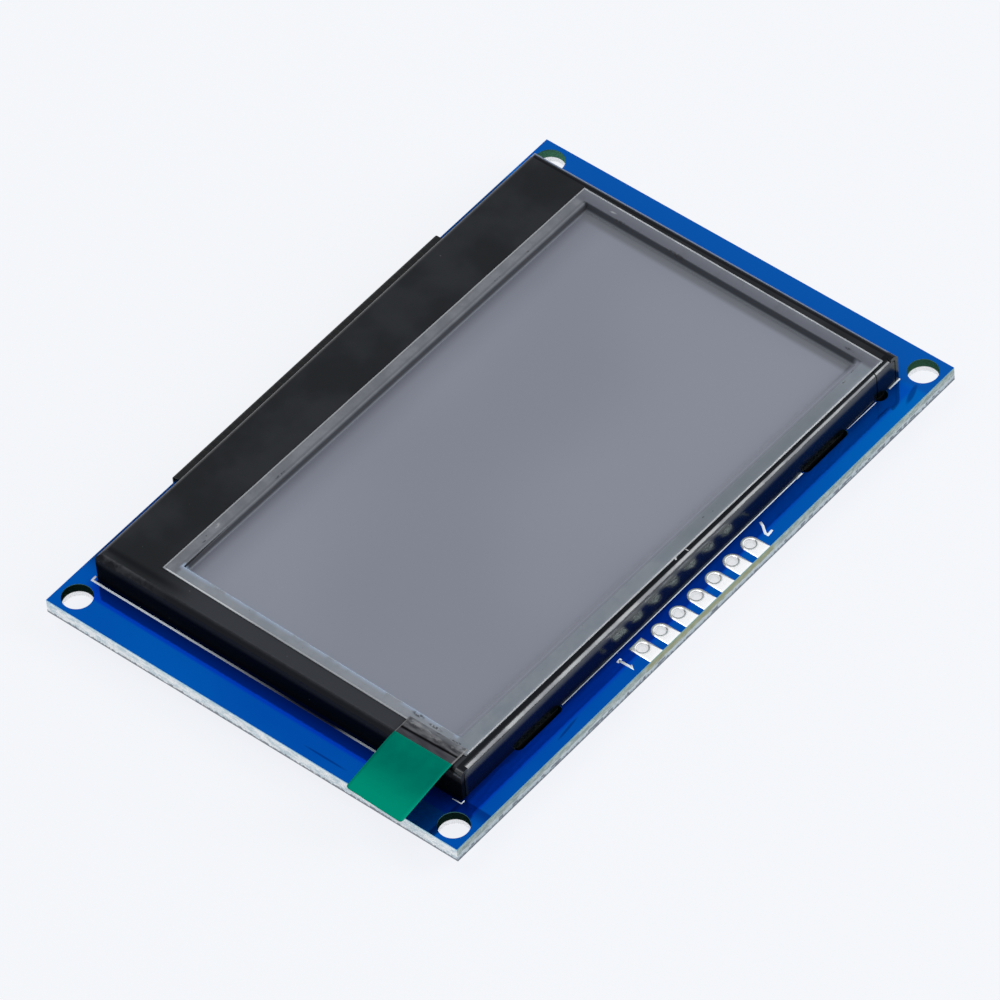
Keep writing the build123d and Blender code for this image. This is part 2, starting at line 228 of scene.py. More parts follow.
# %% A material under construction
class Finish:
    """A material under construction, with Principled as its shader."""

    def __init__(self, name, **uniform):
        self.material = bpy.data.materials.new(name)
        self.material.use_nodes = True
        self.tree = self.material.node_tree
        self.shader = self.tree.nodes["Principled BSDF"]
        for socket, value in uniform.items():
            self.shader.inputs[socket.replace("_", " ")].default_value = value
        source = self.put("ShaderNodeTexCoord").outputs["Object"]
        scaled = self.put("ShaderNodeVectorMath", source, operation="SCALE")
        scaled.inputs["Scale"].default_value = 1 / MM
        self.place = scaled.outputs[0]

    def put(self, kind, *inputs, **settings):
        return add_node(self.tree, kind, *inputs, **settings)

    def moved(self, middle, angle=0.0, size=(1, 1, 1)):
        """The place seen from a middle point, turned and measured in units of a size."""
        return self.put("ShaderNodeMapping", self.place, (*middle, 0)[:3], (0, 0, angle), size,
                        vector_type="TEXTURE").outputs[0]

    def axes(self, vector=None):
        """The three parts of a vector, or of the place."""
        split = self.put("ShaderNodeSeparateXYZ", vector or self.place)
        return [Value(part) for part in split.outputs]

    def normal_axes(self):
        return self.axes(self.put("ShaderNodeNewGeometry").outputs["Normal"])

    def attribute(self, name):
        return Value(self.put("ShaderNodeAttribute", attribute_name=name).outputs["Fac"])

    def spots(self, soft, angle, places):
        """1 inside ellipses in plan, which fade over their outer soft share.

        Each is given by x, y and half its length and width, and by an angle if it has its own.
        """
        found = None
        for x, y, half_x, half_y, *own_angle in places:
            seen = self.moved((x, y), own_angle[0] if own_angle else angle,
                              (half_x, half_y, 1000))
            length = self.put("ShaderNodeVectorMath", seen, operation="LENGTH")
            spot = Value(length.outputs["Value"]).step(1.0, 1.0 - soft)
            found = found | spot if found else spot
        return found

    def noise(self, scale, detail=3.0, stretch=None, rough=0.5):
        """Noise over the place, which a stretch scales along each axis to give it a grain."""
        place = self.place
        if stretch:
            place = self.put("ShaderNodeVectorMath", place, stretch,
                             operation="MULTIPLY").outputs[0]
        made = self.put("ShaderNodeTexNoise", place, None, scale, detail, rough)
        return Value(made.outputs["Fac"])

    def made(self, tone, rough=None, metal=None, height=None, depth=0.01):
        """The material, with a relief whose height in 0 to 1 stands for a depth in mm."""
        for name, value in (("Base Color", tone), ("Roughness", rough), ("Metallic", metal)):
            feed(self.shader.inputs[name], value)
        if height:
            relief = self.put("ShaderNodeBump")
            relief.inputs["Strength"].default_value = 1.0
            relief.inputs["Distance"].default_value = depth * MM
            feed(relief.inputs["Height"], height)
            feed(self.shader.inputs["Normal"], relief.outputs[0])
        return self.material


def dress(material, *names):
    """Gives solids a material in each of their slots."""
    for name in names:
        for slot in nodes[name].material_slots:
            slot.material = material
    print(material.name, "of", len(material.node_tree.nodes), "nodes on", *names)


# %% [markdown]
# The board is glass cloth and resin, 1.6 mm thick, printed blue on both faces. The blue is a
# clear dye over copper, so it mirrors its surroundings in blue, much more strongly than paint
# does. That asks for a partly metallic shader with a blue tint. On the front a painted shade
# deepens the blue close to the frame's walls, where their dark reflection falls, with a darker
# painted shade at their foot and a painted shadow beside the flex side. The blue also grows
# lighter towards the far end, and a few scratches and gaps in the copper show as dark marks.

# %% The board's printed faces
def board_ink(finish, x, y):
    """The printed faces: clouds of two blues, and on the front a painted shade beside the frame's
    walls.
    """
    plain = finish.noise(0.05, 2.0).tones((0, 84, 184), (0, 94, 190))
    ink = mix(x.step(6.0, 34.0), plain, (0, 108, 200))
    to_wall_x, to_wall_y = frame_low[0] - x, frame_low[1] - y
    fade = 0.9
    beside = ((to_wall_x | to_wall_y).step(-0.3, -0.1)
              * y.step(frame_high[1] + fade, frame_high[1] - fade)
              * x.step(frame_high[0] + fade, frame_high[0] - fade) * x.step(-6.0, 20.0, 1.0, 0.6))
    # Painted shade: a deeper blue beside the walls, and darker still where they meet the board.
    painted_wall_shade = to_wall_x.step(2.25, 1.9) * to_wall_y.step(2.1, 1.6) * beside
    ink = mix(painted_wall_shade * 0.8, ink, (0, 57, 198))
    painted_near_contact_shade = to_wall_x.step(-0.2, 0.0) * to_wall_x.step(1.6, 0.1) * 0.62
    painted_pin_contact_shade = to_wall_y.step(-0.2, 0.0) * to_wall_y.step(0.75, 0.0) * 0.72
    ink = mix((painted_near_contact_shade | painted_pin_contact_shade) * beside, ink, (0, 28, 108))
    # A painted shade: a dark line along the foot of the near wall.
    foot = (to_wall_x.step(0.34, 0.24) * to_wall_x.step(-0.3, -0.2)
            * y.step(frame_high[1] + 0.1, frame_high[1] - 0.2)
            * y.step(frame_low[1] - 0.05, frame_low[1] + 0.15))
    ink = mix(foot * 0.9, ink, (0, 8, 22))
    far_strip = x.step(frame_high[0] - 0.3, frame_high[0] + 0.3)
    ink = mix(far_strip * 0.8, ink, (12, 89, 183))
    # A painted shadow on the board beyond the flex side of the frame.
    painted_flex_shadow = y.step(frame_high[1] - 0.3, frame_high[1] + 0.1) * abs(x).step(30.6, 28.0)
    ink = mix(painted_flex_shadow * 0.7, ink, (14, 38, 72))
    gaps = finish.spots(0.5, 0.0, [(-18.8, -23.0, 1.9, 0.16, 0.1), (30.4, -22.9, 1.5, 0.35, 0.3),
                                   (27.0, -22.2, 1.2, 0.12), (-34.2, -8.0, 0.14, 3.0)])
    ink = mix(gaps * 0.6, ink, (0, 40, 120))
    front = finish.normal_axes()[2].step(0.0, 0.5)
    return mix(front, plain, ink)


# %% [markdown]
# The cut edge shows pale laminate with glass threads along it and a rough lower lip. Where the
# pads were soldered, flux has turned it yellow. The edge facing the near end is painted lighter
# and the one by the pads darker, a painted light and shade. The drilled walls are painted dark
# above, a painted shade, and white below in the corner holes and lighter at the far end, a
# painted light. The faces, the edge and the walls are one material, which tells them apart by
# the place and the normal.

# %% The board's edge and its finish
def laminate_edge(finish, x, y, z):
    """The cut edge: threads of glass along it, a torn dark lower lip and a pale blue upper one."""
    near_side = finish.normal_axes()[0].step(-0.6, -0.9)
    threads = finish.noise(1.6, 5.0, (1.0, 1.0, 7.0), 0.65)
    smudge = finish.noise(1.3, 4.0, (0.8, 0.8, 2.0), 0.7)
    waver = z + (threads - 0.5) * 0.9
    # Painted light and shade: the side facing the near end is lighter, the side by the pads darker.
    painted_lit_cut = smudge.tones((252, 255, 255), (214, 228, 233), 0.42, 0.6)
    painted_shaded_cut = smudge.tones((202, 214, 210), (166, 180, 178), 0.38, 0.6)
    painted_shaded_cut = mix(waver.step(0.72, 0.5), painted_shaded_cut, (206, 220, 226))
    painted_shaded_cut = mix(waver.band(0.56, 0.68, 0.07) * 0.9, painted_shaded_cut, (232, 240, 244))
    body = mix(near_side, painted_shaded_cut, painted_lit_cut)
    flux = abs(x).step(9.4, 8.6) * y.step(-23.0, -23.8) * waver.step(0.6, 0.95)
    body = mix(flux * 0.7, body, (172, 172, 122))
    crumbs = finish.noise(3.2, 6.0, (1.0, 1.0, 0.5), 0.75)
    torn = (z + (crumbs - 0.5) * 1.1).step(0.36, 0.16)
    body = mix(torn * 0.8, body, (112, 114, 124))
    blocks = finish.noise(0.8, 1.0, (1.0, 1.0, 0.0))
    marks = blocks.step(0.54, 0.58) * z.band(0.3, 0.55, 0.08) * y.step(-23.0, -23.8)
    body = mix(marks * 0.65, body, (88, 96, 112))
    # The pale blue lip is also lighter on the near side, a painted light.
    lip = z.step(board_top - 0.22, board_top - 0.08)
    lip_tone = mix(near_side, (138, 194, 190), (170, 222, 236))
    return mix(lip * 0.85, body, lip_tone), threads, near_side


def board_finish():
    finish = Finish("blue_board", Specular_IOR_Level=0.0)
    x, y, z = finish.axes()
    face = abs(finish.normal_axes()[2]).step(0.4, 0.6)
    beyond = (abs(x) - (board_high[0] - 0.08)) | (abs(y) - (board_high[1] - 0.08))
    rim = beyond.step(-0.02, 0.02)
    laminate, threads, near_side = laminate_edge(finish, x, y, z)
    # Painted light and shade in the drilled walls: dark above, white low in the corner holes, lighter
    # at the far end.
    painted_white_bore = z.step(0.62, 0.54) * abs(x).step(30.0, 30.3)
    lit_wall = x.step(30.5, 31.5) * y.step(-20.0, 20.0, 0.4, 1.0)
    drilled = mix(lit_wall, (20, 40, 34), (96, 158, 122))
    drilled = mix(painted_white_bore, drilled, (255, 255, 255))
    drilled = mix(z.step(board_top - 0.14, board_top - 0.06), drilled, (84, 140, 136))
    tone = mix(face, mix(rim, drilled, laminate), board_ink(finish, x, y))
    edge_mirror = blend(rim, painted_white_bore * 0.92, near_side.step(0.0, 1.0, 0.22, 0.5))
    weave = finish.noise(2.5, 2.0)
    relief = weave * 0.12 + threads * (1.0 - face) * 2.0
    return finish.made(tone, face.step(0.0, 1.0, 0.55, 0.07), blend(face, edge_mirror, 0.55),
                       relief, 0.02)


dress(board_finish(), "circuit_board")

# %% [markdown]
# The frame is thin sheet with a satin black coating. Its flat is nearly matt, but where the sheet
# was bent the coating mirrors the lamps, and the bends carry lighter tones too, a painted
# highlight, which together make the bright line along the pin side; the near bend is painted
# darker, a painted shade. On the walls only the side with the pads mirrors much, and shows them
# as grey blobs. The walls are painted lighter at the top and darker below, a painted light and
# shade, and the part in the board's slots is painted dark, a painted shade. So the coating is a
# mix: its metallic share says how much it mirrors, and that share is set by the place. Long
# shallow waves break the light line, as they do on real folded sheet.

# %% Frame finish
side_width = 0.9


def frame_coat(finish, x, y, outer_sides):
    """The flat: two blacks in clouds, paler at the near end and darker along the outer sides."""
    coat = finish.noise(0.16, 3.0).tones((37, 39, 41), (46, 48, 51), 0.38, 0.66)
    coat = mix(x.step(-12.0, -29.0) * y.step(17.0, 9.0), coat, (56, 58, 62))
    # A painted shade: a darker band along the near bend towards the flex corner.
    hollow = x.band(frame_low[0] + 0.95, frame_low[0] + 1.6, 0.3) * y.step(11.0, 16.0)
    coat = mix(hollow * 0.8, coat, (24, 25, 28))
    return mix(outer_sides * 0.85, coat, (22, 24, 27))


def frame_finish():
    finish = Finish("black_coating", Specular_IOR_Level=0.0)
    x, y, z = finish.axes()
    facing_up = finish.normal_axes()[2]
    wall = facing_up.step(0.3, 0.05)
    pin_side = y.step(frame_low[1] + side_width, frame_low[1] + side_width - 0.1)
    far_side = x.step(frame_high[0] - side_width, frame_high[0] - side_width + 0.1)
    near_side = x.step(frame_low[0] + side_width, frame_low[0] + side_width - 0.1)
    bend = blend(far_side, facing_up.step(0.99, 0.93), facing_up.step(0.945, 0.87))
    bend = blend(pin_side, bend, (facing_up + x * 0.003).step(0.88, 0.8))
    steep = facing_up.step(0.62, 0.25) * pin_side
    coat = frame_coat(finish, x, y, pin_side | far_side)
    # Painted highlight and shade on the bends: lighter scuffed patches near the flex corner, a dark
    # near bend, a light blue far bend, and a bright pin bend broken by noise.
    scuffed_highlight = y.step(12.0, 20.0) * finish.noise(0.9, 4.0).step(0.4, 0.6)
    painted_bend_tone = mix(near_side, (50, 50, 52), mix(scuffed_highlight, (30, 31, 34), (50, 51, 53)))
    painted_bend_tone = mix(far_side, painted_bend_tone, (78, 94, 118))
    pin_highlight_noise = finish.noise(0.3, 3.0, (1.0, 0.1, 0.1))
    painted_pin_highlight = pin_highlight_noise.tones((56, 57, 59), (70, 71, 72), 0.4, 0.62)
    painted_bend_tone = mix(steep, mix(pin_side, painted_bend_tone, painted_pin_highlight), (78, 81, 86))
    # Painted light and shade on the walls: lighter at the top, darker below.
    upper = z.step(frame_top - 1.5, frame_top - 0.65)
    pin_wall = pin_side * x.step(frame_low[0] + 0.3, frame_low[0] + 1.0)
    wall_shade_low = mix(pin_wall, (8, 13, 19), (38, 49, 49))
    wall_light_high = mix(pin_wall, (42, 44, 48), (76, 79, 81))
    tone = mix(wall, mix(bend, coat, painted_bend_tone), mix(upper, wall_shade_low, wall_light_high))
    # The part in the board's slots is painted dark, a painted shade.
    foot = z.step(board_top + 0.05, board_top - 0.1)
    tone = mix(foot, tone, (16, 15, 15))
    dust = finish.noise(1.7, 2.0).step(0.77, 0.8)
    tone = mix(dust * 0.35, tone, (112, 114, 118))
    mirror = 0.4 + bend * 0.55 - steep * 0.3
    wall_mirror = blend(pin_wall, 0.1, upper.step(0.0, 1.0, 0.93, 0.35))
    grain = finish.noise(14.0, 4.0)
    clean = (far_side | pin_side) * bend | wall * pin_side
    rough = clean.step(0.0, 1.0, 0.33, 0.19) + grain * 0.06
    waves = finish.noise(0.5, 3.0, (1.0, 1.0, 2.0))
    return finish.made(tone, rough, blend(wall, mirror, wall_mirror) * (1.0 - foot),
                       waves + grain * 0.03, 0.05)


dress(frame_finish(), "front_frame")

# %% [markdown]
# New pieces are arrays of points. One helper turns them into an object that stands at the origin
# and rides on the module, and the others mark points for a material, stop the smooth shading at
# sharp edges, and give a sheet its thickness.

# %% Pieces from points
def make_piece(name, points, faces, material, slot, closed=True):
    """A mesh object at the origin from points in millimetres and faces by point number."""
    mesh = bpy.data.meshes.new(name)
    mesh.from_pydata((np.reshape(points, (-1, 3)) * MM).tolist(), [],
                     [list(map(int, face)) for face in faces])
    if closed:
        shell = bmesh.new()
        shell.from_mesh(mesh)
        bmesh.ops.recalc_face_normals(shell, faces=shell.faces)
        shell.to_mesh(mesh)
        shell.free()
    mesh.polygons.foreach_set("use_smooth", [True] * len(mesh.polygons))
    mesh.update()
    mesh.materials.append(material)
    piece = bpy.data.objects.new(name, mesh)
    bpy.context.scene.collection.objects.link(piece)
    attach(piece, "root")
    return piece


def mark_points(piece, name, values):
    """Keeps one number per point for the material to read."""
    layer = piece.data.attributes.new(name, "FLOAT", "POINT")
    layer.data.foreach_set("value", np.ravel(values).astype(np.float32))


def crease(piece, degrees=35):
    """Marks the edges where the surface turns sharply, so that smooth shading stops there."""
    piece.data.set_sharp_from_angle(angle=np.radians(degrees))


def thicken(piece, thickness):
    """Gives an open sheet its thickness in millimetres, on the side away from its normals."""
    solid = piece.modifiers.new("thickness", "SOLIDIFY")
    solid.thickness = thickness * MM
    solid.offset = -1


# %% [markdown]
# The points themselves are grids. One helper numbers the faces between neighbours, and one carries
# a closed profile along a path, which makes every printed line and track here. Blender could do
# that by a curve with a bevel, but a curve's corners are harder to keep at the right width.

# %% Grids and profiles
def grid_faces(rows, columns, close_columns=False, close_rows=False):
    """Squares between neighbours of a grid of points that is numbered row by row."""
    row = np.arange(rows if close_rows else rows - 1)[:, None]
    column = np.arange(columns if close_columns else columns - 1)[None, :]
    next_row, next_column = (row + 1) % rows, (column + 1) % columns
    corners = [row * columns + column, next_row * columns + column,
               next_row * columns + next_column, row * columns + next_column]
    return np.stack(np.broadcast_arrays(*corners), -1).reshape(-1, 4)


def tube_faces(rows, columns):
    """Faces of a closed loop of points carried along a path, with a lid at each end."""
    ends = [list(range(columns)), [(rows - 1) * columns + c for c in range(columns)]]
    return grid_faces(rows, columns, close_columns=True).tolist() + ends


def join(shapes):
    """Several (points, faces) pairs as one, the face numbers moved on by what came before."""
    starts = np.cumsum([0] + [len(points) for points, _ in shapes])
    faces = [[corner + start for corner in face]
             for start, (_, faces) in zip(starts, shapes) for face in faces]
    return np.concatenate([points for points, _ in shapes]), faces


def carry(path, profile, level, out=1):
    """A closed profile carried along a path in plan.

    The path is a row of (x, y), the profile a loop of (across, height). At a corner the profile
    stands on the line that halves it, stretched by one over the cosine of half the turn, so that
    both runs keep their width. Height is added to a level, away from the board.
    """
    path, profile = np.asarray(path, float), np.asarray(profile, float)
    runs = np.diff(path, axis=0)
    runs /= np.linalg.norm(runs, axis=1)[:, None]
    before, after = np.vstack([runs[:1], runs]), np.vstack([runs, runs[-1:]])
    halved = before + after
    halved /= np.linalg.norm(halved, axis=1)[:, None]
    side = np.stack([-halved[:, 1], halved[:, 0]], -1)
    side /= np.sum(halved * after, axis=1)[:, None]
    plan = path[:, None, :] + side[:, None, :] * profile[None, :, :1]
    height = np.broadcast_to(level + out * profile[None, :, 1:], plan[..., :1].shape)
    return np.concatenate([plan, height], -1).reshape(-1, 3), tube_faces(len(path), len(profile))


def around(middle, radius, angle, z=0.0):
    """Points at a radius and an angle about a standing axis, at a height."""
    x, y = middle[0] + radius * np.cos(angle), middle[1] + radius * np.sin(angle)
    return np.stack(np.broadcast_arrays(x, y, z), -1).reshape(-1, 3)


def strip_profile(width, height):
    """A flat strip with eased upper edges, closed underneath."""
    half = width / 2
    return [(-half, 0), (-half, height * 0.5), (-half * 0.8, height), (half * 0.8, height),
            (half, height * 0.5), (half, 0)]


def smooth_step(value, start, end):
    """0 before start, 1 after end, and 3t^2 - 2t^3 between."""
    t = np.clip((value - start) / (end - start), 0, 1)
    return t * t * (3 - 2 * t)


# %% [markdown]
# The film is the visible skin of the screen: a clear sheet laid over the frame and pressed down
# on the glass inside the window. Its rim looks milky over the black frame, and it dips down a
# slope at the window's edge. It is a grid whose height falls with a smooth step from the window's
# edge inwards, which a modelled solid with straight slopes can't show. The points stand closer
# together where the surface bends.

# %% Film shape
film_length, film_width = 58.3, 35.55
film_turn, window_turn = np.radians([-0.84, -0.75])
film_taper = 0.0067
half_window_length, half_window_width = 27.95, 16.45
window_middle = np.array([0.755, -2.225])
film_middle = np.array([0.74, -2.32])
film_depth = 0.8
film_slope = 0.4
pin_slope_share = 0.3
film_thickness = 0.1
film_ripple = 0.01


def fine_near(half, marks, reach=0.9, fine=0.08, coarse=0.7):
    """Positions from -half to half, closer together near the marks."""
    spots = [np.arange(-half, half, coarse)]
    spots += [np.arange(side * mark - reach, side * mark + reach, fine)
              for mark in marks for side in (-1, 1)]
    spots = np.clip(np.concatenate(spots + [[-half, half]]), -half, half)
    return np.unique(np.round(spots, 3))


def turned(x, y, angle, middle):
    """Points turned about the origin, then moved to the middle."""
    c, s = np.cos(angle), np.sin(angle)
    return x * c - y * s + middle[0], x * s + y * c + middle[1]


def film_height(x, y):
    """The film's top: flat on the frame, falling by a smooth step inside the window's edge."""
    c, s = np.cos(window_turn), np.sin(window_turn)
    dx, dy = x - window_middle[0], y - window_middle[1]
    along, across = dx * c + dy * s, dy * c - dx * s
    inside = np.minimum(half_window_length - np.abs(along), half_window_width - across)
    inside = np.minimum(inside, pin_slope_share * (half_window_width + across))
    dip = smooth_step(inside, 0.0, film_slope)
    ripple = film_ripple * np.sin(0.9 * x + 0.4 * y) * np.sin(0.7 * y - 0.2 * x)
    return frame_top + film_thickness - film_depth * dip + ripple * (1 - dip)


def film_piece(material):
    u = fine_near(film_length / 2, [half_window_length])
    v = fine_near(film_width / 2, [half_window_width, half_window_width - 1.0])
    grid_u, grid_v = np.meshgrid(u, v, indexing="ij")
    pin_share = np.clip(-grid_v / (film_width / 2), 0, 1)
    x, y = turned(grid_u, grid_v + film_taper * grid_u * pin_share, film_turn, film_middle)
    piece = make_piece("film_skin", np.stack([x, y, film_height(x, y)], -1),
                       grid_faces(len(u), len(v)), material, "clear_film", closed=False)
    thicken(piece, film_thickness)
    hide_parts("protective_film")
    print("film points:", len(piece.data.vertices))


# %% [markdown]
# The film's tones follow from what lies under it. Over the screen it is blue-grey. Over the frame
# it is milky, with clouds where it lifts. At the two far sides of the window the cut edge of the
# frame shows through as a dark band, and the screen beside it lies in its shade. At the near end
# the light catches the slope as a pale blue line. Distances from the window's edges come from a
# Mapping node turned with the window, and each tone is a band of such a distance.

# %% The film's tones
def film_rim(along, across, cloud):
    """The milky rim over the frame, with its own tone on each side."""
    flex_side = across.step(half_window_width - 0.4, half_window_width)
    far_end = along.step(half_window_length - 0.5, half_window_length)
    outer = along.step(half_window_length + 0.15, half_window_length + 1.2)
    pin_side = across.step(-half_window_width + 0.5, -half_window_width - 0.4)
    rim = mix(pin_side, cloud.tones((123, 129, 137), (131, 136, 143)),
              cloud.tones((112, 120, 129), (120, 127, 134)))
    rim = mix(flex_side, rim, cloud.tones((98, 101, 108), (115, 118, 124), 0.35, 0.68))
    far_tone = mix(outer, (91, 94, 104), (103, 107, 116))
    far_tone = mix(cloud.step(0.5, 0.66) * 0.5, far_tone, (82, 85, 92))
    return mix(far_end, rim, far_tone)


def film_screen(finish, far, flex_edge):
    """The screen: blue-grey, shaded along the two far sides of the window."""
    screen = finish.noise(0.04, 1.0).tones((125, 129, 141), (131, 135, 147))
    screen = mix(flex_edge.step(4.5, 0.3, 0.0, 0.3), screen, (72, 75, 84))
    screen = mix(flex_edge.step(1.7, 0.2, 0.0, 0.6), screen, (72, 75, 84))
    return mix(far.step(1.7, 1.05, 0.0, 0.8), screen, (98, 101, 107))


def film_bands(finish, skin, in_length, in_width, far, near, flex_edge, pin_edge):
    """Lines along the window's edges, each a band of the distance from one of them."""
    brink = flex_edge.band(-0.25, 0.1, 0.08) * in_length
    skin = mix(brink * 0.6, skin, (88, 91, 97))
    trough = flex_edge.band(0.42, 0.64, 0.08) * in_length
    skin = mix(trough * 0.5, skin, (104, 107, 117))
    far_band = far.band(0.05, 0.3, 0.05) * in_width
    skin = mix(far_band * 0.93, skin, (53, 56, 63))
    flex_band = flex_edge.band(0.11, 0.31, 0.06) * in_length
    skin = mix(flex_band * 0.92, skin, (33, 35, 43))
    pale_line = near.band(-0.2, 0.42, 0.26) * in_width * finish.noise(0.5, 2.0).step(0.34, 0.5)
    skin = mix(pale_line * 0.8, skin, (142, 160, 182))
    # A painted light on the pin side's slope, which offsets the shade that the slope's own tilt gives
    # it.
    painted_pin_slope_light = pin_edge.band(0.35, 0.85, 0.35) * in_length
    return mix(painted_pin_slope_light, skin, (150, 154, 167))


# %% [markdown]
# Over these tones lie the marks of handling: scuffs along the window's edges, bubbles and creases
# by the pull tab, and specks on the rim. The sheet's own cut edge carries a painted highlight, a
# bright line that is brightest at the near end. The slope is rougher than the flat, and a fine
# relief lifts the rim.

# %% The film's marks and its finish
def film_scuffs(finish, skin):
    """Dark scuffs, and pale bubbles and creases, where fingers have lifted the film."""
    scuffs = finish.spots(0.6, -0.02, [
        (-23.6, 14.9, 0.34, 0.12), (-23.0, 15.2, 0.12, 0.1), (-13.5, 14.6, 0.9, 0.14),
        (16.4, 14.2, 0.8, 0.1), (20.8, 14.1, 0.5, 0.1), (25.5, -19.1, 0.28, 0.1),
        (27.0, -18.9, 0.3, 0.1), (28.9, -17.0, 0.2, 0.8), (28.7, 3.0, 0.18, 1.6),
        (28.8, 9.5, 0.14, 1.2), (5.3, -19.1, 0.16, 0.12), (6.4, -19.3, 0.12, 0.1),
        (-27.6, -13.5, 0.3, 0.9), (-27.8, -15.6, 0.2, 1.0), (-28.0, -18.2, 0.22, 0.9)])
    skin = mix(scuffs * finish.noise(4.0, 4.0).step(0.42, 0.56) * 0.8, skin, (44, 46, 52))
    bubbles = finish.spots(0.8, 0.1, [(-28.2, -14.4, 0.18, 0.9), (-28.3, -17.0, 0.16, 1.1),
                                      (29.3, 10.9, 0.14, 0.5), (-21.5, 15.2, 0.5, 0.25)])
    return mix(bubbles * finish.noise(2.5, 3.0).step(0.4, 0.6) * 0.5, skin, (180, 183, 186))


def film_cut(finish, y, film_along, to_flex, to_pin):
    """The cut edge's painted highlight: bright at the near end and the circuit's side, dull by the
    pads.
    """
    tone = finish.noise(0.35, 3.0).tones((136, 140, 145), (166, 170, 174), 0.4, 0.6)
    near_cut = film_along.step(0.6 - film_length / 2, 0.4 - film_length / 2)
    tone = mix(near_cut, tone, y.tones((178, 182, 187), (228, 232, 235), 3.0, 9.0))
    tone = mix(to_flex.step(0.5, 0.3), tone, (186, 190, 194))
    dull = to_pin.step(0.8, 0.4) * film_along.step(-3.0, -9.0, 0.6, 1.0)
    return mix(dull, tone, (122, 126, 131))


def film_finish():
    finish = Finish("clear_film", IOR=1.4)
    x, y, _ = finish.axes()
    along, across, _ = finish.axes(finish.moved(window_middle, window_turn))
    film_along, film_across, _ = finish.axes(finish.moved(film_middle, film_turn))
    far, near = half_window_length - along, half_window_length + along
    flex_edge, pin_edge = half_window_width - across, half_window_width + across
    inside = (far & near) & (flex_edge & pin_edge)
    to_flex = film_width / 2 - film_across
    to_pin = film_width / 2 + (film_across - film_along * film_taper)
    margin = (to_flex & to_pin) & (film_length / 2 - abs(film_along))
    in_length = along.band(-half_window_length + 0.1, half_window_length - 0.1, 0.1)
    in_width = across.band(-half_window_width + 0.3, half_window_width + 0.1, 0.1)
    cloud = finish.noise(0.45, 4.0, None, 0.6)
    skin = mix(inside.step(0.1, 0.5), film_rim(along, across, cloud),
               film_screen(finish, far, flex_edge))
    skin = film_bands(finish, skin, in_length, in_width, far, near, flex_edge, pin_edge)
    pin_rim = to_pin.step(1.7, 1.2) * x.step(-3.0, 5.0) * x.step(27.0, 20.0)
    skin = mix(pin_rim * 0.6, skin, (98, 106, 112))
    skin = film_scuffs(finish, skin)
    speck = finish.noise(5.0, 2.0).step(0.73, 0.77) * inside.step(0.3, -0.1)
    skin = mix(speck * 0.6, skin, (70, 74, 78))
    cut = margin.step(0.16, 0.1)
    tone = mix(cut * 0.9, skin, film_cut(finish, y, film_along, to_flex, to_pin))
    slope = inside.band(0.02, 0.5, 0.08)
    lift = finish.noise(1.2, 4.0) * inside.step(0.4, 0.0)
    return finish.made(tone, slope.step(0.0, 1.0, 0.2, 0.75), None, lift, 0.03)


film_piece(film_finish())

# %% [markdown]
# Two slivers of the same film hang over the edge of the frame in the middle of the pin side, a
# straight one and a curled crumb. They are what remains where a sheet was torn off the roll.

# %% Film slivers
def slivers(material):
    edge_y = film_middle[1] - film_width / 2
    straight = carry([(1.47, edge_y - 0.02), (1.5, frame_low[1] + 0.35)],
                     strip_profile(0.09, 0.04), frame_top)
    turn = np.linspace(0, 1.7 * np.pi, 14)
    curl = around((0.05, frame_low[1] + 0.62), 0.1 * (1 - turn / 9), turn)[:, :2]
    crumb = carry(curl, strip_profile(0.09, 0.09), frame_top)
    piece = make_piece("film_slivers", *join([straight, crumb]), material, "clear_film")
    print("sliver points:", len(piece.data.vertices))


def pale_film_finish():
    finish = Finish("pale_film", IOR=1.4, Roughness=0.3)
    tone = finish.noise(6.0, 3.0).tones((176, 178, 180), (228, 230, 232), 0.3, 0.7)
    return finish.made(tone)


slivers(pale_film_finish())

# %% [markdown]
# The pull tab lifts the film off. Its first stretch is clear and sticks to the film, and the rest
# is green. It is one strip that leaves the film's top level, bends over the frame's edge and ends
# in the air above the board. Its shape is a profile in side view carried across its width, cut in
# two where the colour changes, so that each part can have its own finish. The free end is cut a
# little out of square, and its two corners have different rounds.

# %% Pull tab shape
tab_low, tab_high = box_mm("pull_tab")
tab_thickness = 0.1
tab_level = frame_top + film_thickness
green_start = -30.26
tab_root = -28.15
tab_bend = 1.4
tab_curl = 0.03
end_slant, root_slant = 0.024, 0.0115
corner_flex, corner_pin = 0.28, 0.3


def tab_drop(x):
    """How far the tab hangs below its root: nothing on the frame, then an arc that straightens."""
    out = np.maximum(green_start - 0.1 - x, 0)
    reach = green_start - 0.1 - tab_low[0]
    fall = np.where(out < tab_bend, out ** 2 / (2 * tab_bend), out - tab_bend / 2)
    return fall / (reach - tab_bend / 2) * (tab_level - tab_low[2])


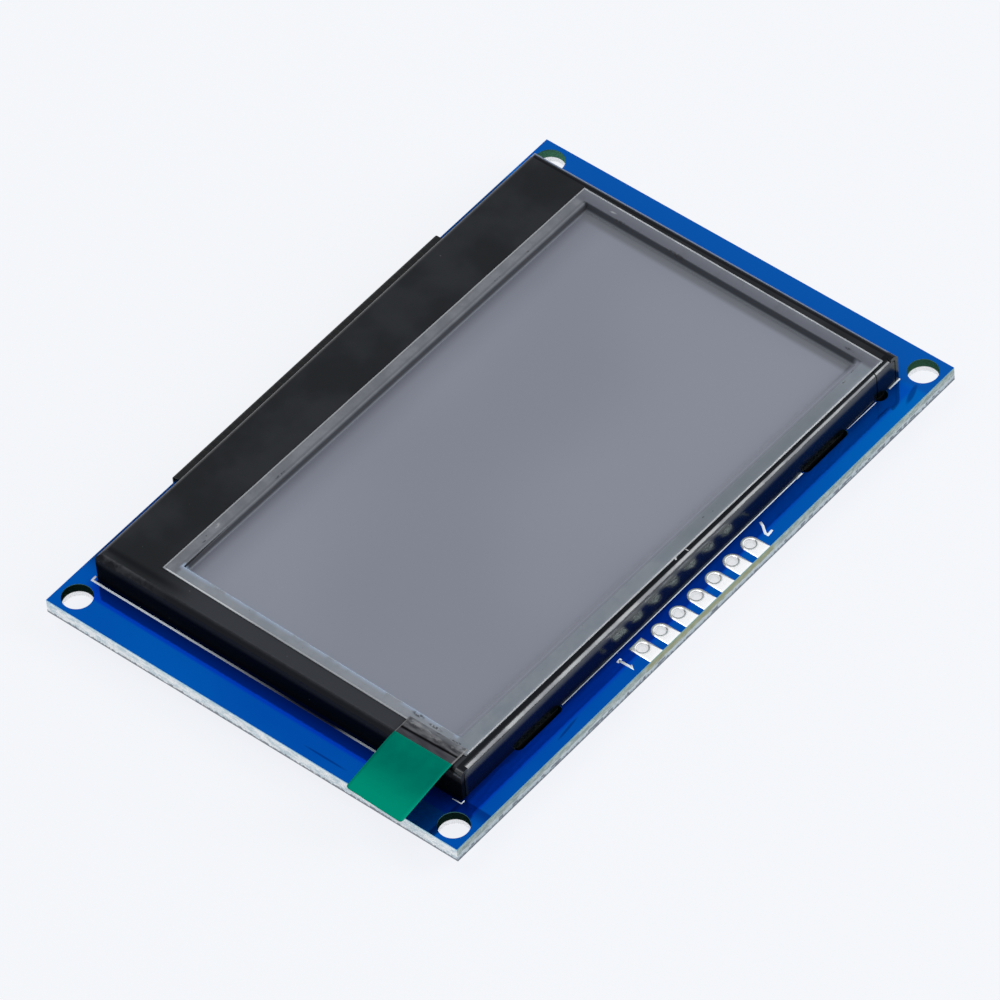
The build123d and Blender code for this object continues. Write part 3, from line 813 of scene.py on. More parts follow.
def tab_strip(x_start, x_end, free_end):
    """Rows from x_start to x_end, columns across. At a free end each row narrows by its arc."""
    rows = x_end + (x_start - x_end) * np.linspace(1, 0, 60) ** (1.6 if free_end else 1.0)
    grid_x, grid_a = np.meshgrid(rows, np.linspace(-1, 1, 22), indexing="ij")
    corner = np.where(grid_a > 0, corner_flex, corner_pin)
    into = np.clip(corner - (grid_x - x_end), 0, corner) * free_end
    cut = corner - np.sqrt(corner ** 2 - into ** 2)
    half = (tab_high[1] - tab_low[1]) / 2
    share = (grid_x - x_end) / (x_start - x_end)
    slant = half * grid_a * (end_slant * (1 - share) - root_slant * share)
    y = (tab_low[1] + tab_high[1]) / 2 + np.sign(grid_a) * (np.abs(grid_a) * (half - cut))
    curl = tab_curl * grid_a ** 2 * free_end * (1 - share)
    z = tab_level + tab_thickness - tab_drop(grid_x) + curl
    x = grid_x + (slant if free_end else -root_slant * grid_a * half)
    points = np.stack([np.maximum(x, tab_low[0]), y, z], -1)
    return points, grid_faces(*grid_a.shape), grid_a


def tab_piece(name, x_start, x_end, free_end, material, slot):
    points, faces, across = tab_strip(x_start, x_end, free_end)
    piece = make_piece(name, points, faces[:, ::-1], material, slot, closed=False)
    mark_points(piece, "across", across)
    thicken(piece, tab_thickness)
    return piece


# %% [markdown]
# The green is painted lighter towards the free end, where more light gets through it, and the
# cut sides carry thin bright lines, a painted highlight. The clear stretch has a dark line across
# it, with scuffs to both sides.

# %% Pull tab finishes
def green_finish():
    finish = Finish("green_film", Specular_IOR_Level=0.0, Roughness=0.45)
    cloud = finish.noise(0.6, 2.0)
    # The free end is painted lighter, a painted light.
    free_end = finish.axes()[0].step(green_start - 2.5, tab_low[0] + 0.6)
    shade = mix(free_end, cloud.tones((0, 112, 94), (0, 118, 99), 0.3, 0.7), (0, 144, 117))
    # The cut sides carry a painted highlight.
    side = abs(finish.attribute("across")).step(0.965, 0.99)
    return finish.made(mix(side * 0.4, shade, (20, 150, 125)), height=cloud, depth=0.01)


def clear_tab_finish():
    finish = Finish("clear_tab", Specular_IOR_Level=0.0, Roughness=0.4)
    x, y, _ = finish.axes()
    streak = finish.noise(1.1, 4.0, (2.2, 0.55, 1.0))
    tone = streak.tones((58, 59, 63), (96, 97, 100), 0.36, 0.64)
    tone = mix(x.step(-29.5, -29.62) * 0.75, tone, (60, 60, 66))
    milky = streak.tones((98, 101, 106), (128, 131, 136), 0.36, 0.64)
    tone = mix(x.step(-28.9, -28.3), tone, milky)
    smudge = finish.noise(0.8, 5.0, (2.0, 0.8, 1.0), 0.7).step(0.54, 0.64) * x.step(-29.0, -28.6)
    tone = mix(smudge * 0.7, tone, (62, 64, 68))
    line = (x + y * 0.03).band(-30.06, -29.8, 0.09)
    tone = mix(line * 0.97, tone, (10, 10, 13))
    scuff = finish.noise(0.9, 4.0, (1.6, 0.8, 1.0), 0.7).step(0.56, 0.66) * x.step(-29.3, -29.0)
    tone = mix(scuff * 0.5, tone, (140, 141, 142))
    # The cut sides carry a painted highlight.
    side = abs(finish.attribute("across")).step(0.95, 0.985)
    return finish.made(mix(side * 0.45, tone, (160, 160, 160)), height=streak, depth=0.02)


green_tab = tab_piece("tab_green", green_start, tab_low[0] + 0.07, True, green_finish(),
                      "green_film")
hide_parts("pull_tab")
tab_piece("tab_clear", tab_root, green_start, False, clear_tab_finish(), "clear_film")
print("tab from", tab_root, "to", round(float(tab_low[0]), 2))

# %% [markdown]
# Each pad is a plated hole: copper on both faces of the board and down the bore, with a skin of
# solder that stands a little proud and rounds over at the rim. Seen from above it is a bullet,
# and the first pad has a square end. All are one surface: around the hole at every angle, and
# along a loop that goes over the top, down the bore, and back outside. The reach at an angle is
# the distance from the hole's middle to the outline, found as the nearest of the lines and the
# arc that bound it.

# %% Solder pads
pad_half_width = 0.875
hole_radius = 0.55
bore_radius = 0.6
solder_skin, solder_rise = 0.02, 0.05


def pad_reach(angle, square_end):
    """Distance from the hole's middle to the pad's outline in each direction."""
    c, s = np.cos(angle), np.sin(angle)
    to_side = pad_half_width / np.maximum(np.abs(c), 1e-9)
    to_edge = np.where(s < 0, pad_inset / np.maximum(-s, 1e-9), np.inf)
    round_end = np.full_like(c, pad_half_width)
    flat_end = pad_half_width / np.maximum(s, 1e-9)
    inner = np.minimum(to_side, flat_end) if square_end else round_end
    return np.where(s > 0, inner, np.minimum(to_side, to_edge))


def pad_shape(x, square_end):
    """Rows go round the hole, columns follow the loop over the top, the bore and the bottom."""
    edge_corner = np.arctan2(pad_inset, pad_half_width)
    corners = [-edge_corner, edge_corner - np.pi] + ([np.pi / 4, 3 * np.pi / 4] * square_end)
    angle = np.unique(np.concatenate([np.linspace(-np.pi, np.pi, 73)[:-1], corners]))
    reach = pad_reach(angle, square_end)[:, None]
    share = np.array([0.0, 0.05, 0.12, 0.3, 0.55, 0.78, 0.86, 0.93, 1.0])
    inner_gap, outer_gap = share * (reach - hole_radius), (1 - share) * (reach - hole_radius)
    inner_round, outer_round = smooth_step(inner_gap, -0.05, 0.12), smooth_step(outer_gap, -0.05, 0.2)
    dome = solder_skin + solder_rise * inner_round * outer_round
    radius = hole_radius + inner_gap
    bore_out = np.full((len(angle), 1), bore_radius)
    bore_in = np.full((len(angle), 1), hole_radius)
    top, low = np.full_like(bore_out, board_top), np.zeros_like(bore_out)
    bore_z = np.broadcast_to(np.linspace(0.1, board_top - 0.1, 5), (len(angle), 5))
    loop_r = np.hstack([radius, reach, bore_out, bore_out, reach, radius[:, ::-1],
                        np.repeat(bore_in, 5, 1)])
    loop_z = np.hstack([board_top + dome, top, top, low, low, -dome[:, ::-1], bore_z])
    # Points marked here get a painted shade: the round end's outer edge and the hole's edge.
    rim = np.zeros_like(loop_r)
    rim[:, :len(share)] = ((share > 0.88) * smooth_step(np.sin(angle), -0.3, 0.3)[:, None]
                           + (share < 0.03))
    points = around((x, pad_y), loop_r, angle[:, None], loop_z)
    return points, grid_faces(*loop_r.shape, True, True), rim


def tin_finish(name, dull=0.0):
    """Solder, bright when new. A dull share takes it towards the grey of the back."""
    finish = Finish(name, Metallic=0.75)
    cloud, frost = finish.noise(1.4, 4.0), finish.noise(9.0, 3.0)
    shine = cloud.tones((252 - 46 * dull, 252 - 46 * dull, 251 - 44 * dull),
                        (255 - 31 * dull, 255 - 31 * dull, 255 - 30 * dull), 0.3, 0.7)
    # A painted shade darkens the rim at the pad's round end and at the hole's edge.
    rim = finish.attribute("rim").step(0.1, 1.0, 0.0, 0.75)
    return finish.made(mix(rim, shine, (104, 106, 112)),
                       frost.step(0.3, 0.7, 0.16 + 0.1 * dull, 0.26 + 0.1 * dull),
                       height=cloud + frost * 0.2, depth=0.008)


tin = tin_finish("bright_tin")
for number, x in enumerate(pad_xs, start=1):
    points, faces, rim = pad_shape(x, number == 1)
    pad = make_piece(f"solder_pad_{number}", points, faces, tin, "solder")
    mark_points(pad, "rim", rim)
    crease(pad, 40)
    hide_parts(f"header_pad_{number}")
print("pads:", len(pad_xs), "points each:", len(pad.data.vertices))

# %% [markdown]
# The printing is white ink: a line round the frame that stops at the slots, and a number at each
# end of the pad row. The numbers are drawn a quarter of a millimetre wide. The line is thinner,
# with a width of its own for each stretch, because the screen it is printed through clogs beside
# the frame. The numbers are read from the side of the frame. Each stroke is a row of points, and
# a thin profile is carried along it.

# %% Printing on the front
ink_height = 0.02
digit_width = 0.25
line_x0, line_x1 = frame_low[0] - 0.4, frame_high[0] + 0.02
line_y0, line_y1 = frame_low[1] - 0.07, frame_high[1] + 0.32
slot_x, slot_half = 20.3, 3.3
peg_x, peg_half = frame_high[0] - 2.6, 0.9

front_strokes = [
    (0.22, [(line_x0 + 0.55, line_y1 + 0.03), (line_x0, line_y1), (line_x0, -15.0)]),
    (0.1, [(line_x0 - 0.02, line_y0 + 0.9), (line_x0, line_y0 - 0.1),
           (line_x0 + 0.42, line_y0 - 0.1)]),
    (0.1, [(-slot_x + slot_half, line_y0), (slot_x - slot_half - 0.9, line_y0)]),
    (0.2, [(slot_x - slot_half - 0.9, line_y0), (slot_x - slot_half, line_y0)]),
    (0.06, [(slot_x + slot_half, line_y0), (peg_x - peg_half, line_y0 - 0.06)]),
    (0.16, [(peg_x + peg_half + 0.2, line_y0), (line_x1 - 0.05, line_y0),
            (line_x1 - 0.05, line_y0 + 0.6)])]
digit_seven = [(10.1, -22.95), (9.42, -23.02), (9.4, -22.75), (9.72, -22.3), (9.98, -21.98),
               (10.2, -21.5)]
digit_one = [[(-10.0, -21.66), (-9.96, -23.05), (-9.78, -22.8)],
             [(-10.28, -21.68), (-9.74, -21.66)]]
front_strokes += [(digit_width, path) for path in [digit_seven, *digit_one]]


def ink_finish():
    finish = Finish("white_ink", IOR=1.4, Roughness=0.5)
    x, y, _ = finish.axes()
    patch = finish.noise(3.0, 4.0)
    ink = patch.tones((232, 244, 255), (246, 252, 255), 0.35, 0.6)
    # The near line turns dark blue over part of its length.
    dark_stretch = x.step(-30.7, -30.9) * y.step(17.0, -3.0) * y.step(-6.0, -10.0, 1.0, 0.3)
    return finish.made(mix(dark_stretch, ink, (4, 12, 36)), height=patch, depth=0.006)


white_ink = ink_finish()
strokes = [carry(path, strip_profile(width, ink_height), board_top)
           for width, path in front_strokes]
make_piece("front_printing", *join(strokes), white_ink, "solder_mask")
print("strokes on the front:", len(strokes))

# %% [markdown]
# The panel under the film is glass with a dark polarizer on it. Foam tape holds it to the board, a
# foam ring lies between it and the frame, and the driver chip is bonded to the ledge of the
# glass. They show only where the module is taken apart, but each has its own surface: foam is
# full of fine pores, glass has a greenish edge, and bare silicon is a dark mirror. One function
# makes them all, from two close tones and a noise.

# %% Panel finishes
def speckled(name, dark, light, scale, rough, depth, **uniform):
    """A surface of two close tones in a fine noise, which also drives its roughness and bump."""
    finish = Finish(name, **uniform)
    grain = finish.noise(scale, 4.0)
    return finish.made(grain.tones(dark, light), grain.step(0.3, 0.7, *rough), height=grain,
                       depth=depth)


dress(speckled("polarizer_sheet", (66, 68, 76), (74, 76, 84), 0.3, (0.1, 0.16), 0.002, IOR=1.5),
      "polarizer")
dress(speckled("cover_glass", (58, 70, 66), (70, 82, 78), 0.4, (0.03, 0.06), 0.001, IOR=1.52),
      "panel_glass")
dress(speckled("back_glass", (44, 52, 50), (56, 64, 62), 0.4, (0.05, 0.09), 0.001, IOR=1.52),
      "panel_cap")
dress(speckled("foam", (10, 10, 11), (30, 30, 31), 6.0, (0.85, 0.95), 0.05), "frame_gasket",
      "panel_tape")
dress(speckled("silicon", (34, 35, 42), (46, 46, 54), 0.8, (0.08, 0.14), 0.001, Metallic=0.6),
      "driver_chip")

# %% [markdown]
# The flexible circuit is black film with copper lines inside. The lines stand out a little, as
# fine ribs that run round the board's edge. They are made by a sine of the place along the strip,
# fed to the bump and to the tone.

# %% Flexible circuit finish
joint_pitch = 0.8


def flex_finish():
    finish = Finish("black_polyimide", IOR=1.5, Specular_IOR_Level=0.1)
    x = finish.axes()[0]
    wave = x.math("SINE", (x - 1.4) * (2 * np.pi / joint_pitch))
    rib = wave.step(-0.1, 0.4) * abs(x - 1.0).step(17.6, 17.2)
    cloud = finish.noise(0.8, 3.0)
    tone = mix(rib, cloud.tones((31, 32, 34), (36, 37, 39), 0.3, 0.7), (38, 38, 38))
    return finish.made(tone, cloud.step(0.3, 0.7, 0.3, 0.4), height=rib + cloud * 0.8, depth=0.01)


dress(flex_finish(), "display_flex")

# %% [markdown]
# The back carries the small power supply and the parts round the display's flexible circuit. A
# ceramic chip is a block with a metal cap at each end. The solids give its place and size. The
# piece that replaces it is a rounded section carried from end to end, with the step where each
# cap begins, and its points say which part is cap, so that one material can mix metal and
# ceramic.

# %% Ceramic chips
def rounded_section(half_width, height, corner, shrink):
    """A loop round a chip: a rectangle with round corners, drawn in by a shrink."""
    turn = np.linspace(0, np.pi / 2, 4)
    arc = np.stack([np.cos(turn), np.sin(turn)], -1) * corner
    w, h = half_width - shrink - corner, height / 2 - shrink - corner
    flips = [(1, 1), (-1, 1), (-1, -1), (1, -1)]
    quarters = [(arc[::1 if sx * sy > 0 else -1] + [w, h]) * [sx, sy] for sx, sy in flips]
    return np.concatenate(quarters)


def chip_place(node):
    """A chip's size and middle, and the number of the axis that it lies along."""
    low, high = box_mm(node)
    size = high - low
    return size, (high + low) / 2, int(size[1] > size[0])


def chip_shape(node, cap):
    """Sections along the chip: round end, cap, a small step down to the body, and the same back."""
    size, middle, lengthwise = chip_place(node)
    length, width = size[lengthwise], size[1 - lengthwise]
    corner, step = min(0.09, size[2] / 5), 0.025
    along = np.array([0, 0.02, 0.09, cap, cap, cap + 0.03])
    along = np.concatenate([along, length - along[::-1]]) - length / 2
    shrink = np.array([0.06, 0.02, 0.0, 0.0, step, step])
    shrink = np.concatenate([shrink, shrink[::-1]])
    is_cap = np.array([1.0, 1, 1, 1, 0, 0])
    is_cap = np.concatenate([is_cap, is_cap[::-1]])
    sections = np.stack([rounded_section(width / 2, size[2], corner, s) for s in shrink])
    points = np.empty((*sections.shape[:2], 3))
    points[..., lengthwise] = along[:, None]
    points[..., 1 - lengthwise] = sections[..., 0]
    points[..., 2] = sections[..., 1]
    cap_marks = np.repeat(is_cap, sections.shape[1])
    return points + middle, tube_faces(*sections.shape[:2]), cap_marks


def chip_finish(name, dark, light, top=None):
    """Metal on the caps, ceramic between them, and a glassy coat on the outer face if given."""
    finish = Finish(name, IOR=1.5)
    cap = finish.attribute("cap").step(0.4, 0.6)
    grain = finish.noise(5.0, 4.0)
    body = grain.tones(dark, light)
    if top:
        body = mix(finish.normal_axes()[2].step(-0.6, -0.9), body, top)
    metal = finish.noise(3.0, 3.0).tones((196, 197, 198), (232, 233, 233), 0.3, 0.7)
    return finish.made(mix(cap, body, metal), grain.step(0.3, 0.7, 0.28, 0.4), cap, grain, 0.012)


capacitor_body = chip_finish("capacitor_body", (148, 118, 88), (168, 138, 106))
small_capacitor_body = chip_finish("small_capacitor_body", (134, 108, 86), (152, 126, 102))
resistor_body = chip_finish("resistor_body", (222, 222, 216), (236, 236, 231), (22, 22, 24))
chip_kinds = [("bulk_capacitor", 2, 0.6, capacitor_body, "capacitor_body"),
              ("ceramic_capacitor", 4, 0.4, capacitor_body, "capacitor_body"),
              ("small_capacitor", 4, 0.3, small_capacitor_body, "capacitor_body"),
              ("resistor", 8, 0.3, resistor_body, "resistor_body")]
chips = []
for kind, count, cap, material, slot in chip_kinds:
    for number in range(1, count + 1):
        node = f"{kind}_{number}"
        points, faces, marks = chip_shape(node, cap)
        chip = make_piece(f"{node}_chip", points, faces, material, slot)
        mark_points(chip, "cap", marks)
        crease(chip)
        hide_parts(node)
        chips.append((node, cap))
print("chips:", len(chips))

# %% [markdown]
# Solder climbs up a metal end in a hollow curve and runs out over the pad. A fillet is a profile
# carried outwards from the part: its height falls from the climb to almost nothing with the
# square of what is left, and it is a little higher in the middle than at its sides. All fillets
# are one mesh, since solder is one finish.

# %% Solder fillets
packages = {"boost_converter": ((-0.95, 0, 0.95), (1, 0), 0.4),
            "voltage_regulator": ((-0.95, 0, 0.95), (0, 1), 0.4),
            "rectifier_diode": ((0,), (1, 0), 0.9)}


def fillet_shape(foot, direction, width, climb, reach):
    """Solder from a point at a metal end outwards: rows along the reach, a closed arch in each."""
    share = np.linspace(0, 1, 8)
    across = np.array([-1, -0.95, -0.6, 0, 0.6, 0.95, 1])
    height = 0.035 + climb * (1 - share) ** 2.2
    arch = 1 - 0.3 * across ** 2
    arch[[0, -1]] = 0
    spread = width / 2 * (1 + 0.08 * share * (1 - share) * 4)
    out, side = np.array(direction, float), np.array([-direction[1], direction[0]], float)
    plan = (np.array(foot)[None, None] + out * (share * reach)[:, None, None]
            + side * (across[None, :] * spread[:, None])[..., None])
    z = -height[:, None] * arch[None, :]
    points = np.concatenate([plan, z[..., None]], -1).reshape(-1, 3)
    return points, tube_faces(len(share), len(across))


def chip_fillets(node, cap):
    """A fillet at both ends and a thin tinned pad under each cap."""
    size, middle, lengthwise = chip_place(node)
    way = np.eye(2)[lengthwise]
    length, width = size[lengthwise], size[1 - lengthwise]
    shapes = []
    for sign in (-1, 1):
        for inset, share, climb, reach in ((cap + 0.05, 0.0, 0.0, cap + 0.5),
                                           (0.03, 1.0, size[2] * 0.62, 0.36)):
            foot = middle[:2] + way * sign * (length / 2 - inset)
            fillet_width = width * 0.96 if share else width + 0.24
            shapes.append(fillet_shape(foot, way * sign, fillet_width, climb, reach))
    return shapes


def package_fillets(node):
    """A thin tinned pad and a fillet at the outer end of each lead of a moulded package."""
    rows, way, lead_width = packages[node]
    low, high = box_mm(node)
    way = np.array(way)
    side = np.array([-way[1], way[0]])
    span = np.abs((high - low)[:2] / 2 @ way)
    shapes = []
    for sign in (-1, 1):
        for row in rows:
            end = (low + high)[:2] / 2 + way * sign * span + side * row
            shapes.append(fillet_shape(end - way * sign * 0.55, way * sign, lead_width + 0.26, 0.0,
                                       0.95))
            shapes.append(fillet_shape(end - way * sign * 0.02, way * sign, lead_width, 0.12, 0.3))
    return shapes


dull_tin = tin_finish("solder", 0.6)
fillets = [shape for chip in chips for shape in chip_fillets(*chip)]
fillets += [shape for node in packages for shape in package_fillets(node)]
make_piece("solder_fillets", *join(fillets), dull_tin, "solder")
print("fillets:", len(fillets))

# %% [markdown]
# The tail of the flexible circuit is soldered down by a row of long joints. Each is a low dome
# with round ends over the copper finger below it.

# %% Solder on the tail
tail_low, tail_high = box_mm("flex_joints")
joint_half_width = 0.25


def joint_shape(x):
    """A long dome: its width and height both fall as a circle does near the two ends."""
    share, across = np.linspace(-1, 1, 13), np.linspace(-1, 1, 7)
    length = tail_high[1] - tail_low[1]
    end = np.clip((1 - np.abs(share)) * length / 2 / joint_half_width, 0.02, 1)
    taper = np.sqrt(1 - (1 - end) ** 2)
    arch = np.sqrt(np.maximum(1 - across ** 2, 0))
    grid_x = x + joint_half_width * taper[:, None] * across[None, :]
    grid_y = (tail_low[1] + tail_high[1]) / 2 + share[:, None] * length / 2 + 0 * grid_x
    waves = 1 + 0.15 * np.sin(3.1 * share + 2.3 * x)[:, None]
    grid_z = -(0.02 + 0.19 * taper[:, None] * arch[None, :] * waves)
    grid_z[:, [0, -1]] = 0.0
    return np.stack([grid_x, grid_y, grid_z], -1).reshape(-1, 3), tube_faces(*grid_x.shape)


joint_xs = np.arange(24) * joint_pitch + tail_low[0] + 0.2
tail_solder = make_piece("tail_solder", *join([joint_shape(x) for x in joint_xs]), dull_tin,
                         "solder")
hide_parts("flex_joints")
print("joints on the tail:", len(joint_xs))

# %% [markdown]
# The three packages are moulded black resin with bent tinned leads. Each comes from the solids
# as one piece, so its finish tells the leads from the body by how far a point is from the
# package's middle line, and adds the paler band that marks one end of the diode.

# %% Package finishes
def package_finish(node, axis, half_body, band=None):
    finish = Finish(f"{node}_resin", IOR=1.5)
    low, high = box_mm(node)
    off = finish.axes(finish.moved((low + high) / 2))[axis]
    lead = abs(off).step(half_body + 0.005, half_body + 0.02)
    pores = finish.noise(9.0, 4.0)
    resin = pores.tones((24, 24, 26), (36, 36, 38))
    if band:
        resin = mix(off.band(*band, 0.02), resin, (168, 170, 172))
    return finish.made(mix(lead, resin, (214, 215, 216)), lead.step(0.0, 1.0, 0.55, 0.28), lead,
                       pores * (1.0 - lead), 0.015)


dress(package_finish("boost_converter", 0, 0.8), "boost_converter")
dress(package_finish("voltage_regulator", 1, 0.8), "voltage_regulator")
dress(package_finish("rectifier_diode", 0, 1.35, (0.85, 1.2)), "rectifier_diode")

# %% [markdown]
# The inductor is a drum of ferrite with enamelled copper wire round its neck. The solid for the
# winding is a plain ring. Here it is the wire itself: a circle carried along a helix that climbs
# by one wire's thickness each turn. A plain wall a little inside it stands for the layer below.

# %% Inductor winding
drum_low, drum_high = box_mm("inductor_core")
coil_low, coil_high = box_mm("inductor_coil")
coil_middle, coil_radius = (coil_low + coil_high) / 2, (coil_high[0] - coil_low[0]) / 2
wire = 0.24
steps_per_turn = 40
neck_radius = 1.1


def winding_shape():
    """Centre line: angle t, height rising with t. Section: a circle across it, closed at both ends."""
    turns = (coil_high[2] - coil_low[2]) / wire - 1
    t = np.linspace(0, 2 * np.pi * turns, int(steps_per_turn * turns))[:, None]
    a = np.linspace(0, 2 * np.pi, 9)[None, :-1]
    radius = coil_radius - wire / 2 + np.cos(a) * wire / 2
    z = coil_low[2] + wire / 2 + t / (2 * np.pi) * wire + np.sin(a) * wire / 2
    return around(coil_middle, radius, t, z), tube_faces(len(t), a.size)


def winding_core():
    """The layer below: a tube's four corners turned about the axis."""
    a = np.linspace(0, 2 * np.pi, 49)[:-1, None]
    outer = coil_radius - wire * 0.6
    radius = np.array([[outer, outer, neck_radius, neck_radius]])
    z = np.array([[coil_low[2], coil_high[2], coil_high[2], coil_low[2]]])
    return around(coil_middle, radius, a, z), grid_faces(len(a), z.size, True, True)


copper = speckled("enamelled_copper", (150, 78, 40), (178, 98, 52), 3.0, (0.22, 0.32), 0.01,
                  Metallic=0.7)
winding = make_piece("inductor_winding", *join([winding_shape(), winding_core()]), copper,
                     "copper_wire")
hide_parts("inductor_coil")
dress(speckled("ferrite", (46, 46, 48), (62, 61, 61), 7.0, (0.5, 0.62), 0.02), "inductor_core")
print("winding points:", len(winding.data.vertices))

# %% [markdown]
# Tracks run from the pads to the tail of the flexible circuit, with wider ones in the power
# supply. Under the blue ink a track stands up a little and looks lighter. Each is a strip carried
# along straight runs that meet at 45 degrees, the way boards are routed. Vias are low rings with
# a dimple, and both wear the board's ink in a slightly lighter tone.

# %% Tracks and vias on the back
def bent_run(x_from, y_from, x_to, y_to, y_bend):
    """A track straight up, across at 45 degrees from y_bend on, and straight up again."""
    across = x_to - x_from
    return [(x_from, y_from), (x_from, y_bend), (x_to, y_bend + abs(across)), (x_to, y_to)]


joint_y = tail_low[1] + 0.1
signal_tracks = [bent_run(x, pad_y + 0.9, joint_xs[6 + 2 * i], joint_y, -16.5 + 0.75 * abs(i - 3))
                 for i, x in enumerate(pad_xs)]
for x, y, joint in [(-7.5, 5.2, 3), (-9.5, 9.2, 1), (-7.5, 9.2, 2), (9.5, 5.2, 21),
                    (0.9, 12.9, 11), (4.9, 12.9, 15), (8.9, 12.9, 20)]:
    bend = min(y + 0.6, tail_low[1] - abs(joint_xs[joint] - x) - 0.3)
    signal_tracks.append(bent_run(x, y, joint_xs[joint], joint_y, bend))
signal_tracks += [[(-12, -11.0), (-12, -6.5), (-9.5, -4.0), (-9.5, 6.8)],
                  [(-9.5, -11.0), (-9.5, -8.0), (-7.9, -6.4), (-7.9, 2.6)],
                  [(-7, -13.0), (-7, -15.0), (-8.6, -16.6), (-11.0, -16.6)],
                  [(12, -13.6), (12, -17.0), (7.62, -21.4)],
                  [(12.95, -10.4), (12.95, -6.0), (9.5, -2.55), (9.5, 2.8)]]
power_tracks = [[(-19.5, 2.6), (-19.5, 1.6), (-14.6, 1.6)],
                [(-17.2, 5.0), (-15.2, 5.95)],
                [(-19.5, 7.3), (-19.5, 9.0)],
                [(-12.4, 7.0), (-12.4, 8.6), (-12.0, 10.0)],
                [(-18.4, 10.3), (-16.2, 10.5)],
                [(14, 9.8), (14, 12.0), (10.8, 15.2)],
                [(14, 6.2), (14, -2.0), (17.5, -5.5), (17.5, -10.8)],
                [(18, 6.8), (18, 3.0), (14.3, -0.7)],
                [(6.7, -12.0), (10.4, -12.0)]]
via_places = [(-11.0, -16.6), (-24, 6), (-24, 8), (-24, 4), (-21, -3), (-14.5, -3.5),
              (-3, -7.5), (0.5, -9.5), (3.5, -5), (21, -8), (22.5, -10), (21, -12),
              (22, 5), (22, 8), (16.4, 12.5), (-16, 14), (-18, 14), (25, -2), (-26, -6),
              (6.0, 2.0), (-1.5, 9.2), (1.8, 7.4), (-12.9, 13.2), (27, 12), (-28, 14)]
signal_width, power_width, track_height = 0.3, 0.9, 0.035


def via_shape(x, y):
    """A low ring with a dimple: a profile of radius and height turned about a standing axis."""
    radius = np.array([0.36, 0.33, 0.24, 0.16, 0.1, 0.001])
    height = np.array([0.0, 0.035, 0.045, 0.03, 0.008, 0.004])
    a = np.linspace(0, 2 * np.pi, 19)[None, :-1]
    points = around((x, y), radius[:, None], a, -height[:, None])
    return points, tube_faces(len(radius), a.size)


def track_finish():
    finish = Finish("inked_copper", IOR=1.45, Metallic=0.6)
    cloud = finish.noise(0.3, 3.0)
    return finish.made(cloud.tones((10, 100, 202), (18, 112, 212)), cloud.step(0.3, 0.7, 0.1, 0.15),
                       height=finish.noise(4.0, 3.0), depth=0.006)


def strips_below(paths, width, height):
    """Strips on the board's back, which hang down from it."""
    return [carry(path, strip_profile(width, height), board_low[2], -1) for path in paths]


inked_copper = track_finish()
tracks = strips_below(signal_tracks, signal_width, track_height)
tracks += strips_below(power_tracks, power_width, track_height)
make_piece("tracks", *join(tracks), inked_copper, "solder_mask")
make_piece("vias", *join([via_shape(x, y) for x, y in via_places]), inked_copper, "solder_mask")
print("tracks:", len(tracks), "vias:", len(via_places))

# %% [markdown]
# The printing on the back frames each part, marks the first pad and the first lead, and boxes the
# row of holes. Its lines stop short of the solder, and it has no words.

# %% Printing on the back
def frame_strokes(node, room):
    """A line along both long sides of a part, with short returns at its corners."""
    low, high = box_mm(node)
    x0, y0, x1, y1 = *(low[:2] - room), *(high[:2] + room)
    tick = 0.45
    if x1 - x0 > y1 - y0:
        return [[(x0, y + inward), (x0, y), (x1, y), (x1, y + inward)]
                for y, inward in ((y0, tick), (y1, -tick))]
    return [[(x + inward, y0), (x, y0), (x, y1), (x + inward, y1)]
            for x, inward in ((x0, tick), (x1, -tick))]


def circle(middle, radius, points):
    """A circle in plan, its last point on its first."""
    return around(middle, radius, np.linspace(0, 2 * np.pi, points), 0.0)[:, :2]


back_line_width = 0.15
chip_room, package_room, drum_radius = 0.62, 0.5, 2.6
back_strokes = [stroke for node, _ in chips for stroke in frame_strokes(node, chip_room)]
back_strokes += [stroke for node in packages for stroke in frame_strokes(node, package_room)]
back_strokes.append(circle((drum_low + drum_high) / 2, drum_radius, 41)[2:-2])
row_x0, row_x1 = pad_xs[0] - 1.4, pad_xs[-1] + 1.4
row_y0, row_y = board_low[1] + 0.3, pad_y + 1.35
tail_x0, tail_x1 = tail_low[0] - 0.8, tail_high[0] + 0.8
tail_y0, tail_y1 = tail_low[1] - 0.5, tail_high[1] - 0.6
back_strokes += [[(row_x0, row_y0), (row_x0, row_y), (row_x1, row_y), (row_x1, row_y0)],
                 [(row_x0 - 0.5, row_y - 0.2), (row_x0 - 0.5, row_y - 1.4)],
                 [(tail_x0, tail_y0), (tail_x0, tail_y1)],
                 [(tail_x1, tail_y0), (tail_x1, tail_y1)]]
back_strokes += [circle(place, 0.12, 13)[:-1] for place in ((-15.6, 7.5), (10.4, -13.9))]
marks = strips_below(back_strokes, back_line_width, ink_height)
make_piece("back_printing", *join(marks), white_ink, "solder_mask")
print("strokes on the back:", len(marks))

# %% [markdown]
# The light is that of a product table: a pale surround that lights everything softly, a large
# softbox overhead, one at the right that draws the bright line along the frame's bend and the
# grey blobs of the pads in the wall, and a low one at the far right that edges the far side. The
# floor shows its plain colour to the camera and to mirror-like surfaces, and keeps a share of the
# shadow. It lies a hair below the module, and from below it is clear, so that the back can be
# seen through it.

# %% Floor, world and lights
background = colour(245, 247, 251)
floor_half = 3.0
floor_gap = 0.02
plain_share = 0.92


def seen_directly(tree):
    """1 for a ray from the camera, or one that has met a mirror or glass, 0 for soft light."""
    path = add_node(tree, "ShaderNodeLightPath")
    total = Value(path.outputs["Is Camera Ray"])
    for name in ("Is Glossy Ray", "Is Transmission Ray"):
        total = total | path.outputs[name]
    return total


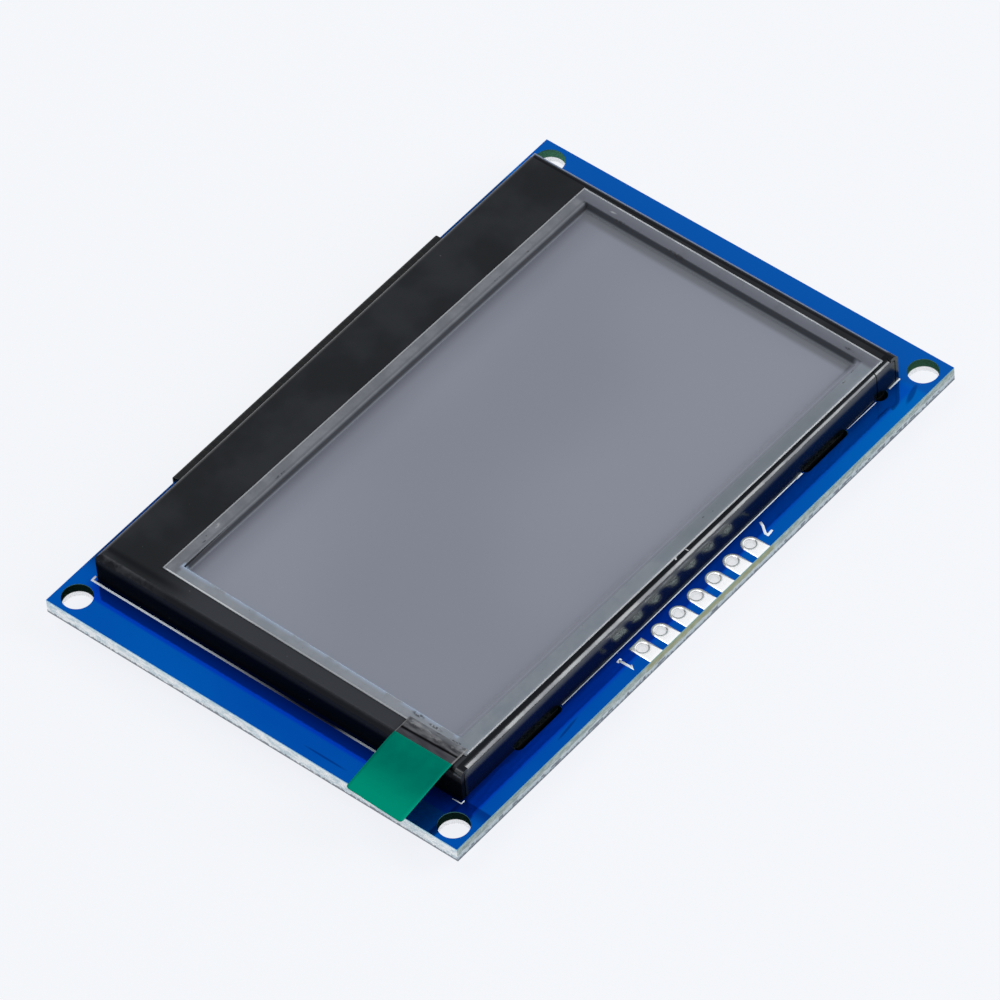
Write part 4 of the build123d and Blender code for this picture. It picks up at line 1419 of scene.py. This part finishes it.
def floor_finish():
    """Plain light mixed with paper where the floor is seen from above, nothing from below."""
    material = bpy.data.materials.new("floor")
    material.use_nodes = True
    tree = material.node_tree
    tree.nodes.clear()
    plain_light = add_node(tree, "ShaderNodeEmission", background)
    paper = add_node(tree, "ShaderNodeBsdfDiffuse", background)
    above = add_node(tree, "ShaderNodeMixShader", seen_directly(tree) * plain_share,
                     paper.outputs[0], plain_light.outputs[0])
    nothing = add_node(tree, "ShaderNodeBsdfTransparent")
    from_below = add_node(tree, "ShaderNodeNewGeometry").outputs["Backfacing"]
    whole = add_node(tree, "ShaderNodeMixShader", from_below, above.outputs[0], nothing.outputs[0])
    add_node(tree, "ShaderNodeOutputMaterial", whole.outputs[0])
    return material


floor_level = cad_box[0][2] - floor_gap * MM
floor_mesh = bpy.data.meshes.new("floor")
floor_mesh.from_pydata([(x * floor_half, y * floor_half, floor_level)
                        for x, y in ((-1, -1), (1, -1), (1, 1), (-1, 1))], [], [(0, 1, 2, 3)])
floor_mesh.materials.append(floor_finish())
floor = bpy.data.objects.new("floor", floor_mesh)
bpy.context.scene.collection.objects.link(floor)


def studio_world(soft_strength):
    """The surround: its plain colour where it is seen, and a softer level as light."""
    world = bpy.data.worlds.new("studio")
    bpy.context.scene.world = world
    world.use_nodes = True
    tree = world.node_tree
    level = add_node(tree, "ShaderNodeMapRange", seen_directly(tree), None, None, soft_strength, 1.0)
    feed(tree.nodes["Background"].inputs["Color"], background)
    feed(tree.nodes["Background"].inputs["Strength"], level.outputs[0])


def softbox(name, direction, distance_mm, size_mm, radiance):
    """A lamp in a direction from the board's middle, given by how bright its face looks."""
    data = bpy.data.lights.new(name, "AREA")
    data.shape = "RECTANGLE"
    data.size, data.size_y = (side * MM for side in size_mm)
    data.energy = radiance * np.pi * data.size * data.size_y
    lamp = bpy.data.objects.new(name, data)
    place = Vector(direction).normalized() * distance_mm * MM
    lamp.matrix_world = Matrix.Translation(place) @ place.to_track_quat("Z", "Y").to_matrix().to_4x4()
    bpy.context.scene.collection.objects.link(lamp)
    return lamp


studio_world(soft_strength=0.45)
right_box = softbox("right_box", (0.479, -0.753, 0.452), 800, (300, 690), 8.0)
softbox("top_box", (-0.236, 0.236, 0.94), 850, (500, 500), 2.2)
softbox("far_box", (0.87, 0.457, 0.25), 800, (200, 200), 3.0)

# The right box lights everything but the board, whose blue mirror image of it would tint the wall.
left_out = bpy.data.collections.new("not_lit_by_right_box")
left_out.objects.link(nodes["circuit_board"])
left_out.collection_objects[0].light_linking.link_state = "EXCLUDE"
right_box.light_linking.receiver_collection = left_out
print("lamps: 3, floor", floor_gap, "mm below the module")
